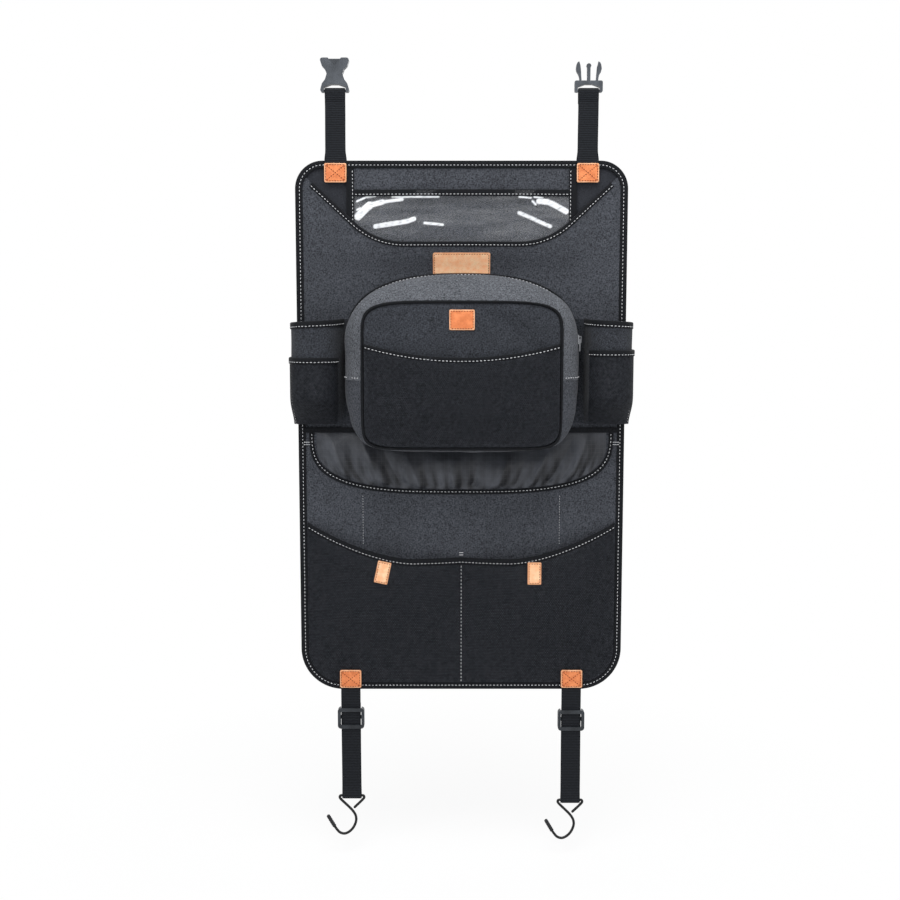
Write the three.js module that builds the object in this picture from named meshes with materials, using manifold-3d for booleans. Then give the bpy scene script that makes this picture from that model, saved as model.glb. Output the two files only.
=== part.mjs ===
import * as THREE from 'three';
import { mergeVertices } from 'three/addons/utils/BufferGeometryUtils.js';
import Module from 'manifold-3d';

// A car seat back organizer, in millimetres.
// X runs to the right as seen, Y to the rear and Z up, from the middle of the panel's rear face.
// A depth is a distance forward of that rear face, so it is the opposite of Y.

const manifold = await Module();
manifold.setup();

// Layers and tapes
const GAP = 0.3; // left between layers that touch
const CANVAS = 1.0;
const MESH = 0.8;
const FILM = 0.4;
const LEATHER = 1.5;
const WEBBING = 1.6;
const EDGE_PLY = 0.9;
const TAPE_PLY = 0.8;
const STRIP = 1.0; // flat tapes that are sewn on

// Back panel with its bound rim
const PANEL = { width: 405.6, height: 660, thickness: 4, topRadius: 34, bottomRadius: 53 };
const SIDE = PANEL.width / 2;
const END = PANEL.height / 2;

// How far in from the panel's side, and out from its ends, the pieces lie
const INWARD = {
  window: 72,
  scoopFlat: 132.8,
  scoopEnd: 21.8,
  pouchRear: 66.8,
  pouchWidest: 61.8,
  pouchFront: 83.8,
  cupOuter: -3.2,
  cupInner: 49.8,
  cupFlange: 76.8,
  bandInner: 72.8,
  bandOuter: 7.8,
  gather: 20.8,
  footMesh: 8.8,
  topStrap: 50.2,
  footStrap: 62.8,
  patch: 49.8,
};
const OUTWARD = {
  strapEnd: -24,
  patch: -15.2,
  buckle: 81.5,
  glideLeft: 36.3,
  glideRight: 39,
  hookLeft: 139.5,
  hookRight: 145.5,
};
const EDGE_TAPE = 9.4;
const EDGE_SINK = 0.1; // the tape's rear ply lies this far under the panel's rear face

// Window pocket
const WINDOW = { halfWidth: SIDE - INWARD.window, tape: 9, mouth: 295, mouthTape: 8, foot: 222, bulge: 5.5 };
const WINDOW_PANEL_FOOT = 218;
const WINDOW_TAPE_FOOT = 246;

// Front panel with its scooped top edge
const SCOOP = {
  level: 232.5, radius: 88, angle: 42.8, tape: 6.2, bow: 5.8,
  flat: SIDE - INWARD.scoopFlat, end: SIDE - INWARD.scoopEnd,
};
const SCOOP_SETTLE = 40; // the bowed edge lies flat again this far below the scoop
const SCOOP_TUCK = 4; // over this width the sheet drops into the edge tape
const SCOOP_EASE = 28; // beside the window the edge comes back to the panel over this width
const LABEL = { width: 70, height: 28, level: 205, thickness: 1.2 };

// Zipped pouch: each row gives the rear, the widest and the front section
const POUCH = {
  halfWidth: [SIDE - INWARD.pouchRear, SIDE - INWARD.pouchWidest, SIDE - INWARD.pouchFront],
  topRise: [81, 84, 52],
  footDrop: [85, 88, 82],
  topPower: [2.4, 2.4, 5.2],
  footPower: [3.2, 3.2, 9],
  shoulder: 108, // the arch starts here
  seam: 66, // the side seams, where the lower curve starts
  widest: 0.43,
  depth: 61,
  wall: 1.2,
};
const ZIP = { start: 17, width: 6.4, coil: 1.2 };
const PIPING_RADIUS = 1.9;
const CROWN = 3;
const DENT = { x: 58, z: 128, depth: 3, length: 45, width: 15, slope: -38 };
const POUCH_MESH = { side: 111, centre: 94, inset: 4.5, bulge: 6, tape: 6 };
const POUCH_LABEL = { width: 30, height: 24, level: 138, thickness: 1.2 };
const SLIDER = { level: 114, length: 11, width: 8.5, height: 2.2, bridge: 1, bridgeWidth: 2.4, bridgeSpan: 8 };
const PULL = { length: 15, width: 6, thickness: 1.2, eye: 5.4 };

// Side pockets
const CUP = {
  foot: 10, outerRim: 133, innerRim: 141, wall: 1.2, tape: 8, depth: 60,
  outer: SIDE - INWARD.cupOuter, inner: SIDE - INWARD.cupInner,
};
const CUP_FLANGE = SIDE - INWARD.cupFlange;
const CUP_ROOT = 6; // the wall starts this far in from the panel's side
const CUP_TURN = 10; // and turns to its flange this far beyond its inner side
// The wall seen from above: shares of its half width from its middle, and of its depth from the panel
const CUP_PLAN = [
  [0.95, 0.06], [1, 0.3], [0.93, 0.64], [0.62, 0.9], [0.1, 1],
  [-0.45, 0.93], [-0.86, 0.68], [-1, 0.34], [-1.06, 0.07],
];
const CUP_MESH_RIM = { left: 93, right: 102 };
const CUP_MESH_TAPE = 7.5;
const BAND = { inner: SIDE - INWARD.bandInner, outer: SIDE - INWARD.bandOuter, foot: -1.4, top: 5 };

// Gathered pocket
const GATHER = {
  halfWidth: SIDE - INWARD.gather, depth: 72, power: 3.2, puff: 9, pleat: 1.9, pleats: 24, tape: 7,
};

// Mesh pockets at the foot
const FOOT_SWELL = 0.55; // the net stands out by this where the lower straps cross it
const FOOT_MESH = {
  centre: -164.5, rise: 45.5, flat: 60, reach: SIDE - INWARD.footMesh, bulge: 14, tape: 8.8, stitch: 3,
};
const TAB = { width: 17, length: 28, thickness: 2, radius: 4, lap: 1 };
const TABS = {
  left: { x: -95, lean: -12 },
  right: { x: 91, lean: 0 },
};

// Straps, their patches and what they carry
const STRAP = {
  width: 24.6, topX: SIDE - INWARD.topStrap, footX: SIDE - INWARD.footStrap,
  sewnEnd: END + OUTWARD.strapEnd, doubled: 13,
};
const PATCH = { width: 27, height: 23, topX: SIDE - INWARD.patch, level: END + OUTWARD.patch };
const LOOP_GAP = 0.8;
const BUCKLE = { level: END + OUTWARD.buckle, bar: 3, thickness: 9, width: 34.5, height: 40 };
const SOCKET_WAIST = 0.55;
// The socket's side as Bezier points: a share of its half width, and the height from its foot
const SOCKET_SIDE = [
  [1, 3], [1, 12], [SOCKET_WAIST, 13], [SOCKET_WAIST, 21], [SOCKET_WAIST, 29], [1, 28], [1, BUCKLE.height - 3],
];
const PLUG = { base: 13.5, reach: 36, prongInner: 8.5, prongOuter: 11, barb: 15.5, barbHeight: 14, guide: 3 };
const GLIDE = {
  width: 33.5, height: 26.6, bar: 4.6, thickness: 2.2, left: -END - OUTWARD.glideLeft,
  right: -END - OUTWARD.glideRight,
};
const GLIDE_PLAY = 0.9; // between the rails and the strap
const HOOK = {
  wire: 1.5, left: -END - OUTWARD.hookLeft, right: -END - OUTWARD.hookRight, sleeve: 2.35,
  sleeveLength: 16,
};

// Layers worked out from the sizes above
const RIM_REAR = EDGE_SINK + EDGE_PLY + GAP;
const CANVAS_REAR = PANEL.thickness + GAP;
const CANVAS_FRONT = CANVAS_REAR + CANVAS;
const EDGE_FRONT = CANVAS_FRONT + GAP + EDGE_PLY;
const EDGE_INNER = SIDE - EDGE_TAPE;
const SHEET_INSET = EDGE_PLY + 2 * GAP;
const PLY_ROOM = TAPE_PLY + 2 * GAP; // a bound edge stands off by this for its rear ply
const FILM_REAR = CANVAS_FRONT + PLY_ROOM - GAP;
const WINDOW_TAPE_REAR = FILM_REAR + FILM + GAP;
const SCOOP_SIDE = PANEL.thickness + PLY_ROOM;
const SCOOP_OVER_WINDOW = WINDOW_TAPE_REAR + STRIP + PLY_ROOM;
const FLANGE_REAR = CANVAS_FRONT + GAP;
const POUCH_REAR = FLANGE_REAR + CUP.wall + GAP;
const GUSSET_REAR = POUCH_REAR + CANVAS + GAP;
const GUSSET_FRONT = GUSSET_REAR + POUCH.depth;
const PIPING_DEPTH = GUSSET_FRONT + GAP + PIPING_RADIUS;
const FRONT_REAR = PIPING_DEPTH - POUCH.wall / 2;
const TOP_STRAP_REAR = EDGE_FRONT + GAP;
const MESH_BASE = CANVAS_FRONT + PLY_ROOM;
const FOOT_STRAP_REAR = MESH_BASE + MESH + FOOT_SWELL + GAP;

// Colours
const material = (color, roughness, metalness = 0) => (
  new THREE.MeshStandardMaterial({ color, roughness, metalness })
);
const canvas = material(0x3c3e44, 0.9);
const lining = material(0x2c2e33, 0.8);
const binding = material(0x141619, 0.75);
const nylon = material(0x3a3c41, 0.45);
const net = material(0x1b1d20, 0.8);
const film = material(0xd7dbe0, 0.12);
const leather = material(0xdd8450, 0.6);
const webbing = material(0x1c1f24, 0.8);
const plastic = material(0x484c52, 0.45);
const wire = material(0x17181a, 0.4, 0.3);
const metal = material(0x6b6d70, 0.35, 0.9);

// Numbers and small vectors
const { degToRad, lerp, smoothstep } = THREE.MathUtils;
const at = (x, depth, z) => new THREE.Vector3(x, -depth, z);
const steps = (count) => Array.from({ length: count + 1 }, (_, i) => i / count);
const between = (start, end, count) => steps(count).map((s) => lerp(start, end, s));
const mirrored = (positive) => [...positive.map((x) => -x).reverse(), ...positive.filter((x) => x > 0)];
const signedPower = (value, power) => Math.sign(value) * Math.abs(value) ** power;

// Joins triangles into one geometry, turned outward
function solidOf(points, triangles) {
  let volume = 0;
  for (let i = 0; i < triangles.length; i += 3) {
    const [a, b, c] = [0, 1, 2].map((k) => points[triangles[i + k]]);
    volume += a.dot(b.clone().cross(c));
  }
  const geometry = new THREE.BufferGeometry().setFromPoints(points);
  geometry.setIndex(volume < 0 ? triangles.reverse() : triangles);
  geometry.computeVertexNormals();
  return geometry;
}

// A closed body through rings of equal length.
// Its ends are joined to each other, or closed as a strip, or as a fan round their middle.
function loft(rings, ends) {
  const size = rings[0].length;
  const points = rings.flat();
  const triangles = [];
  const spans = ends === 'joined' ? rings.length : rings.length - 1;
  for (let ring = 0; ring < spans; ring += 1) {
    const here = ring * size;
    const next = ((ring + 1) % rings.length) * size;
    for (let i = 0; i < size; i += 1) {
      const j = (i + 1) % size;
      triangles.push(here + i, next + i, next + j, here + i, next + j, here + j);
    }
  }
  const last = (rings.length - 1) * size;
  if (ends === 'strip') {
    for (let i = 0; i < size / 2 - 1; i += 1) {
      const [a, b, c, d] = [i, i + 1, size - 2 - i, size - 1 - i];
      triangles.push(a, b, c, a, c, d);
      triangles.push(last + a, last + c, last + b, last + a, last + d, last + c);
    }
  }
  if (ends === 'fan') {
    for (const [start, ring, turn] of [[0, rings[0], 1], [last, rings.at(-1), -1]]) {
      const middle = ring.reduce((sum, point) => sum.add(point), new THREE.Vector3()).divideScalar(size);
      points.push(middle);
      for (let i = 0; i < size; i += 1) {
        const edge = [start + i, start + ((i + 1) % size)];
        triangles.push(points.length - 1, ...(turn > 0 ? edge : edge.reverse()));
      }
    }
  }
  return solidOf(points, triangles);
}

// A sheet with rows of columns, from its rear surface and its thickness forward
function sheet(columns, rows, place, depthAt, thickness) {
  const point = (column, row, lift) => {
    const [x, z] = place(column, row);
    return at(x, depthAt(x, z, row) + lift, z);
  };
  return loft(rows.map((row) => [
    ...columns.map((column) => point(column, row, thickness)),
    ...columns.map((column) => point(column, row, 0)).reverse(),
  ]), 'strip');
}

// A tape folded over an edge. Each station places an inset from the tape's outer edge
// and a lift forward from the rear face of the sheet inside it.
function foldedTape(stations, { width, ply, sheet: inside, corner = 0, joined = false }) {
  const rear = -(GAP + ply);
  const front = inside + GAP + ply;
  const fold = (inset, low, high) => (corner > 0
    ? [[inset + corner, low], [inset, low + corner], [inset, high - corner], [inset + corner, high]]
    : [[inset, low], [inset, high]]);
  const outer = [[width, rear], ...fold(0, rear, front), [width, front]];
  const inner = [[width, -GAP], ...fold(ply, -GAP, inside + GAP), [width, inside + GAP]];
  const section = [...outer, ...inner.reverse()];
  return loft(stations.map((station) => section.map(([inset, lift]) => station(inset, lift))),
    joined ? 'joined' : 'strip');
}

// A strip of webbing along a path of depths and heights
function ribbon(x, width, path, thickness) {
  return loft(path.map(([depth, z], i) => {
    const [before, after] = [path[Math.max(i - 1, 0)], path[Math.min(i + 1, path.length - 1)]];
    const along = new THREE.Vector2(after[0] - before[0], after[1] - before[1]).normalize();
    const [rise, drop] = [along.y * thickness / 2, along.x * thickness / 2];
    return [[-1, -1], [1, -1], [1, 1], [-1, 1]]
      .map(([side, face]) => at(x + side * width / 2, depth + face * rise, z - face * drop));
  }), 'fan');
}

// A round wire along points in the plane of one depth
function roundWire(points, depth, radius, sides) {
  return loft(points.map((point, i) => {
    const [before, after] = [points[Math.max(i - 1, 0)], points[Math.min(i + 1, points.length - 1)]];
    const along = after.clone().sub(before).normalize();
    return steps(sides).slice(1).map((s) => {
      const angle = 2 * Math.PI * s;
      const out = radius * Math.cos(angle);
      return at(point.x - along.y * out, depth + radius * Math.sin(angle), point.y + along.x * out);
    });
  }), 'fan');
}

// Plates and blocks
function block([x0, x1], [rear, front], [z0, z1]) {
  const box = new THREE.BoxGeometry(x1 - x0, front - rear, z1 - z0);
  return box.translate((x0 + x1) / 2, -(rear + front) / 2, (z0 + z1) / 2);
}

function plate(shape, rear, front) {
  const settings = { depth: front - rear, bevelEnabled: false, curveSegments: 3 };
  return new THREE.ExtrudeGeometry(shape, settings).rotateX(Math.PI / 2).translate(0, -rear, 0);
}

function roundedShape(width, height, radius) {
  const [x, z] = [width / 2, height / 2];
  const shape = new THREE.Shape().moveTo(x - radius, -z);
  shape.absarc(x - radius, radius - z, radius, -Math.PI / 2, 0);
  shape.absarc(x - radius, z - radius, radius, 0, Math.PI / 2);
  shape.absarc(radius - x, z - radius, radius, Math.PI / 2, Math.PI);
  shape.absarc(radius - x, radius - z, radius, Math.PI, 1.5 * Math.PI);
  return shape;
}

// Joins and cuts
function toSolid(geometry) {
  const bare = new THREE.BufferGeometry().setAttribute('position', geometry.getAttribute('position'));
  bare.setIndex(geometry.getIndex());
  const merged = mergeVertices(bare, 1e-4);
  return new manifold.Manifold(new manifold.Mesh({
    numProp: 3,
    vertProperties: new Float32Array(merged.getAttribute('position').array),
    triVerts: new Uint32Array(merged.getIndex().array),
  }));
}

function fromSolid(solid) {
  const { vertProperties, triVerts } = solid.getMesh();
  const geometry = new THREE.BufferGeometry();
  geometry.setAttribute('position', new THREE.BufferAttribute(vertProperties, 3));
  geometry.setIndex(new THREE.BufferAttribute(triVerts, 1));
  geometry.computeVertexNormals();
  return geometry;
}

const join = (first, ...others) => (
  fromSolid(others.reduce((sum, other) => sum.add(toSolid(other)), toSolid(first)))
);
const cut = (body, ...tools) => (
  fromSolid(tools.reduce((rest, tool) => rest.subtract(toSolid(tool)), toSolid(body)))
);

const organizer = new THREE.Group();
organizer.name = 'seat_back_organizer';

function add(name, geometry, finish, parent = organizer) {
  const mesh = new THREE.Mesh(geometry, finish.clone());
  mesh.name = name;
  parent.add(mesh);
}

// Panel outline
function panelOutline(inset) {
  const [x, z] = [SIDE, END];
  const corners = [
    [x - PANEL.bottomRadius, PANEL.bottomRadius - z, PANEL.bottomRadius, -90],
    [x - PANEL.topRadius, z - PANEL.topRadius, PANEL.topRadius, 0],
    [PANEL.topRadius - x, z - PANEL.topRadius, PANEL.topRadius, 90],
    [PANEL.bottomRadius - x, PANEL.bottomRadius - z, PANEL.bottomRadius, 180],
  ];
  return corners.flatMap(([cx, cz, radius, start]) => steps(7).map((s) => {
    const angle = degToRad(start + 90 * s);
    return [cx + (radius - inset) * Math.cos(angle), cz + (radius - inset) * Math.sin(angle)];
  }));
}

function edgeHeight(x, inset, radius) {
  const past = Math.max(Math.abs(x) - SIDE + radius, 0);
  const reach = radius - inset;
  return END - radius + Math.sqrt(Math.max(reach ** 2 - past ** 2, 0));
}

function rimDistance(x, z) {
  const [past, above] = [Math.abs(x) - SIDE + PANEL.topRadius, z - END + PANEL.topRadius];
  return PANEL.topRadius - (past > 0 && above > 0 ? Math.hypot(past, above) : Math.max(past, above));
}

const panelTop = (x, inset) => edgeHeight(x, inset, PANEL.topRadius);
const panelFoot = (x, inset) => -edgeHeight(x, inset, PANEL.bottomRadius);
const cornerColumns = (inset) => steps(6).map((s) => (
  SIDE - PANEL.bottomRadius + (PANEL.bottomRadius - inset) * Math.sin(s * Math.PI / 2)
));

function buildPanel() {
  const ring = (inset, depth) => panelOutline(inset).map(([x, z]) => at(x, depth, z));
  const step = EDGE_TAPE + GAP;
  add('back_panel', loft([
    ring(step, 0),
    ring(step, RIM_REAR),
    ring(SHEET_INSET, RIM_REAR),
    ring(SHEET_INSET, PANEL.thickness),
  ], 'fan'), lining);

  const stations = panelOutline(0).map((_, i) => (inset, lift) => {
    const [x, z] = panelOutline(inset)[i];
    return at(x, RIM_REAR + lift, z);
  });
  add('edge_binding', foldedTape(stations, {
    width: EDGE_TAPE, ply: EDGE_PLY, sheet: CANVAS_FRONT - RIM_REAR, corner: 0.6, joined: true,
  }), binding);
}

// Window pocket at the top
function filmDepth(x, z) {
  const across = Math.cos(Math.min(Math.abs(x) / WINDOW.halfWidth, 1) * Math.PI / 2);
  return FILM_REAR + WINDOW.bulge * Math.max(across, 0) ** 0.8 * smoothstep(z, WINDOW.foot, WINDOW.mouth);
}

function buildWindow() {
  const side = WINDOW.halfWidth + WINDOW.tape - GAP;
  add('window_panel', block([-side, side], [CANVAS_REAR, CANVAS_FRONT],
    [WINDOW_PANEL_FOOT, END - SHEET_INSET]), canvas);

  const filmSide = side - 1;
  const filmTop = WINDOW.mouth - TAPE_PLY - GAP;
  const place = (x, row) => [x, lerp(WINDOW.foot, filmTop, row)];
  const columns = mirrored([...between(0, WINDOW.halfWidth, 7), filmSide]);
  add('window_film', sheet(columns, steps(6), place, filmDepth, FILM), film);

  const mouthEnd = WINDOW.halfWidth - GAP;
  const stations = between(-mouthEnd, mouthEnd, 16).map((x) => (inset, lift) => (
    at(x, filmDepth(x, filmTop) + lift, WINDOW.mouth - inset)
  ));
  add('window_binding', foldedTape(stations, {
    width: WINDOW.mouthTape, ply: TAPE_PLY - GAP, sheet: FILM,
  }), binding);

  for (const [name, sign] of [['left', -1], ['right', 1]]) {
    const [inner, outer] = [WINDOW.halfWidth, WINDOW.halfWidth + WINDOW.tape].map((x) => sign * x);
    add(`window_tape_${name}`, block([Math.min(inner, outer), Math.max(inner, outer)],
      [WINDOW_TAPE_REAR, WINDOW_TAPE_REAR + STRIP],
      [WINDOW_TAPE_FOOT, END - EDGE_TAPE - GAP]), binding);
  }
}

// Front panel
function scoopHeight(x) {
  const angle = degToRad(SCOOP.angle);
  const run = Math.abs(x) - SCOOP.flat;
  const bend = SCOOP.radius * Math.sin(angle);
  if (run <= 0) return SCOOP.level;
  if (run < bend) return SCOOP.level + SCOOP.radius - Math.sqrt(SCOOP.radius ** 2 - run ** 2);
  return SCOOP.level + SCOOP.radius * (1 - Math.cos(angle)) + (run - bend) * Math.tan(angle);
}

// The sheet's rear face: bowed at the scoop, clear of the window's tapes and flat lower down
function frontDepth(x, z) {
  const side = WINDOW.halfWidth + WINDOW.tape + 2;
  const bow = SCOOP.bow * Math.cos(Math.min(Math.abs(x) / side, 1) * Math.PI / 2) ** 2;
  const overWindow = 1 - smoothstep(Math.abs(x), side, side + SCOOP_EASE);
  const edge = lerp(SCOOP_SIDE, SCOOP_OVER_WINDOW + bow, overWindow);
  const nearScoop = smoothstep(z, SCOOP.level - SCOOP_SETTLE, SCOOP.level);
  const tuckStart = EDGE_TAPE + 4 * GAP;
  const tuck = smoothstep(rimDistance(x, z), tuckStart, tuckStart + SCOOP_TUCK);
  return CANVAS_REAR + (edge - CANVAS_REAR) * nearScoop * tuck;
}

function buildFrontPanel() {
  const settle = SCOOP.level - SCOOP_SETTLE;
  const top = (x) => Math.min(scoopHeight(x) - TAPE_PLY - GAP, panelTop(x, SHEET_INSET));
  const place = (x, row) => [x, row < 0
    ? lerp(settle, panelFoot(x, SHEET_INSET), -row)
    : lerp(settle, top(x), row)];
  const slope = between(SCOOP.flat, SCOOP.end, 15).slice(1);
  const scoopColumns = mirrored([...between(0, SCOOP.flat, 3), ...slope]);
  const edgeColumns = [
    ...between(SCOOP.end + SCOOP.tape * 0.75, EDGE_INNER - GAP, 2),
    ...between(EDGE_INNER - GAP, SIDE - SHEET_INSET, 2).slice(1),
  ];
  const columns = [...edgeColumns.map((x) => -x).reverse(), ...scoopColumns, ...edgeColumns];
  add('front_panel', sheet(columns, [-1, ...steps(6)], place, frontDepth, CANVAS), canvas);

  const scoop = scoopColumns.map((x) => (inset, lift) => {
    const climb = scoopHeight(x + 0.5) - scoopHeight(x - 0.5);
    const down = new THREE.Vector2(climb, -1).normalize().multiplyScalar(inset);
    const [px, pz] = [x + down.x, scoopHeight(x) + down.y];
    return at(px, frontDepth(px, pz) + lift, pz);
  });
  add('scoop_binding', foldedTape(scoop, { width: SCOOP.tape, ply: TAPE_PLY, sheet: CANVAS }), binding);

  const labelPlace = (x, row) => [x, LABEL.level + LABEL.height * row];
  add('label_patch', sheet(between(-LABEL.width / 2, LABEL.width / 2, 4), between(-0.5, 0.5, 4), labelPlace,
    (x, z) => frontDepth(x, z) + CANVAS + GAP, LABEL.thickness), leather);
}

// Pouch sections from the rear to the front
const swell = ([rear, middle, front], t) => (t < POUCH.widest
  ? middle + (rear - middle) * ((POUCH.widest - t) / POUCH.widest) ** 2
  : middle + (front - middle) * ((t - POUCH.widest) / (1 - POUCH.widest)) ** 2);

function pouchArc(t, inset, { rise, power, centre, start }, count) {
  const halfWidth = swell(POUCH.halfWidth, t) - inset;
  const height = swell(rise, t) - inset;
  return steps(count).map((s) => {
    const angle = start + Math.PI * s;
    const grip = 2 / swell(power, t);
    return at(
      halfWidth * signedPower(Math.cos(angle), grip),
      GUSSET_REAR + POUCH.depth * t,
      centre + height * signedPower(Math.sin(angle), grip),
    );
  });
}

const upperArc = (t, inset) => pouchArc(t, inset,
  { rise: POUCH.topRise, power: POUCH.topPower, centre: POUCH.shoulder, start: 0 }, 18);
const lowerArc = (t, inset, centre = POUCH.seam) => pouchArc(t, inset,
  { rise: POUCH.footDrop, power: POUCH.footPower, centre, start: Math.PI }, 14);
const pouchRing = (t, inset) => [...upperArc(t, inset), ...lowerArc(t, inset)];

function upperPath(t, inset) {
  const arc = upperArc(t, inset);
  const seam = (point) => point.clone().setZ(POUCH.seam + GAP / 2);
  return [seam(arc[0]), ...arc, seam(arc.at(-1))];
}

const lowerPath = (t, inset) => lowerArc(t, inset, POUCH.seam - GAP / 2);
const pouchSection = (depth) => (depth - GUSSET_REAR) / POUCH.depth;

function gusset(path, depths, bump = () => 0) {
  return loft(depths.map((depth) => {
    const t = pouchSection(depth);
    return [...path(t, -bump(depth)), ...path(t, POUCH.wall).reverse()];
  }), 'strip');
}

// The pouch's front: crowned, with one soft dent
function frontCrown(x, z) {
  const middle = POUCH.seam + (POUCH.shoulder - POUCH.seam + POUCH.topRise[2] - POUCH.footDrop[2]) / 2;
  const half = (POUCH.shoulder - POUCH.seam + POUCH.topRise[2] + POUCH.footDrop[2]) / 2;
  const dome = (1 - (x / POUCH.halfWidth[2]) ** 2) * (1 - ((z - middle) / half) ** 2);
  const turn = degToRad(DENT.slope);
  const along = (x - DENT.x) * Math.cos(turn) + (z - DENT.z) * Math.sin(turn);
  const across = (z - DENT.z) * Math.cos(turn) - (x - DENT.x) * Math.sin(turn);
  const dent = Math.exp(-((along / DENT.length) ** 2) - (across / DENT.width) ** 2);
  return FRONT_REAR + CROWN * Math.max(dome, 0) - DENT.depth * dent * Math.min(3 * Math.max(dome, 0), 1);
}

function buildPouch() {
  const rearRing = (depth) => pouchRing(0, 0).map((point) => point.setY(-depth));
  add('pouch_back', loft([rearRing(POUCH_REAR), rearRing(POUCH_REAR + CANVAS)], 'fan'), canvas);

  const zipEnd = ZIP.start + ZIP.width;
  const coil = (depth) => ZIP.coil * (1 - smoothstep(Math.abs(depth - (ZIP.start + zipEnd) / 2), 0.7, 1.9));
  add('pouch_gusset_rear', gusset(upperPath, between(GUSSET_REAR, ZIP.start - GAP, 2)), canvas);
  add('zipper_tape', gusset(upperPath, between(ZIP.start, zipEnd, 5), coil), binding);
  add('pouch_gusset_front', gusset(upperPath, between(zipEnd + GAP, GUSSET_FRONT, 5)), canvas);
  add('pouch_gusset_lower', gusset(lowerPath, between(GUSSET_REAR, GUSSET_FRONT, 5)), canvas);

  const pipe = pouchRing(1, PIPING_RADIUS / 2).map((point, i) => {
    const out = pouchRing(1, 0)[i].sub(pouchRing(1, 2)[i]).normalize();
    return steps(6).slice(1).map((s) => point.clone()
      .addScaledVector(out, PIPING_RADIUS * Math.cos(2 * Math.PI * s))
      .setY(-PIPING_DEPTH - PIPING_RADIUS * Math.sin(2 * Math.PI * s)));
  });
  add('pouch_piping', loft(pipe, 'joined'), binding);

  const rim = pouchRing(1, 1.5 * PIPING_RADIUS + GAP);
  const centre = (POUCH.shoulder + POUCH.seam) / 2;
  const ring = (scale, lift) => rim.map((point) => {
    const [x, z] = [point.x * scale, centre + (point.z - centre) * scale];
    return at(x, frontCrown(x, z) + lift, z);
  });
  const scales = [0.15, 0.45, 0.72, 0.9, 1];
  add('pouch_front', loft([
    ...scales.map((scale) => ring(scale, 0)),
    ...scales.map((scale) => ring(scale, POUCH.wall)).reverse(),
  ], 'fan'), canvas);

  const face = (x, z) => frontCrown(x, z) + POUCH.wall + GAP;
  const labelPlace = (x, row) => [x, POUCH_LABEL.level + POUCH_LABEL.height * row];
  add('pouch_label', sheet(between(-POUCH_LABEL.width / 2, POUCH_LABEL.width / 2, 2), between(-0.5, 0.5, 2),
    labelPlace, face, POUCH_LABEL.thickness), leather);
}

// Net pocket on the pouch's front
const pouchMeshTop = (x) => lerp(POUCH_MESH.centre, POUCH_MESH.side, (x / POUCH.halfWidth[2]) ** 2);

function pouchMeshDepth(x, z) {
  const side = POUCH.halfWidth[2] - POUCH_MESH.inset;
  const across = Math.cos(Math.min(Math.abs(x) / side, 1) * Math.PI / 2);
  const foot = POUCH.seam - POUCH.footDrop[2];
  const up = smoothstep(z, foot, foot + 50);
  return frontCrown(x, z) + POUCH.wall + PLY_ROOM + POUCH_MESH.bulge * Math.max(across, 0) ** 0.6 * up;
}

function buildPouchMesh() {
  const side = POUCH.halfWidth[2] - POUCH_MESH.inset - 1.5;
  const power = POUCH.footPower[2];
  const foot = (x) => POUCH.seam - (POUCH.footDrop[2] - POUCH_MESH.inset)
    * (1 - Math.abs(x / (side + 1.5)) ** power) ** (1 / power);
  const place = (x, row) => [x, lerp(foot(x), pouchMeshTop(x) - TAPE_PLY - GAP, row)];
  const columns = mirrored(steps(8).map((s) => side * Math.sin(s * Math.PI / 2)));
  add('pouch_mesh', sheet(columns, steps(6), place, pouchMeshDepth, MESH), net);

  const stations = columns.map((x) => (inset, lift) => {
    const z = pouchMeshTop(x) - inset;
    return at(x, pouchMeshDepth(x, z) + lift, z);
  });
  add('pouch_mesh_binding', foldedTape(stations, {
    width: POUCH_MESH.tape, ply: TAPE_PLY, sheet: MESH,
  }), binding);
}

// Zip slider with its pull, on the right side of the pouch
function buildZipSlider() {
  const depth = ZIP.start + ZIP.width / 2;
  const wall = swell(POUCH.halfWidth, pouchSection(depth)) + ZIP.coil + GAP;
  const rise = PULL.thickness + 0.9;
  const cross = (width, height, z = 0) => [
    [depth - width / 2, depth + width / 2],
    [SLIDER.level + z - height / 2, SLIDER.level + z + height / 2],
  ];
  const piece = (from, to, [depths, heights]) => block([wall + from, wall + to], depths, heights);
  const bridgeTop = SLIDER.height + rise;
  add('zipper_slider', cut(
    join(
      piece(0, SLIDER.height, cross(SLIDER.width, SLIDER.length)),
      piece(SLIDER.height - 0.5, bridgeTop + SLIDER.bridge, cross(SLIDER.bridgeWidth, SLIDER.bridgeSpan)),
    ),
    piece(SLIDER.height, bridgeTop, cross(SLIDER.bridgeWidth + 1, SLIDER.bridgeSpan - 2 * SLIDER.bridge)),
  ), metal);

  const pullRear = SLIDER.height + (rise - PULL.thickness) / 2;
  const pullMiddle = (PULL.thickness - PULL.length) / 2;
  const eyeHeight = PULL.eye - PULL.thickness / 2;
  const eyeMiddle = -(PULL.eye + PULL.thickness / 2) / 2;
  add('zipper_pull', cut(
    piece(pullRear, pullRear + PULL.thickness, cross(PULL.width, PULL.length, pullMiddle)),
    piece(pullRear - 1, pullRear + PULL.thickness + 1, cross(SLIDER.bridgeWidth + 0.8, eyeHeight, eyeMiddle)),
  ), metal);
}

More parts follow.
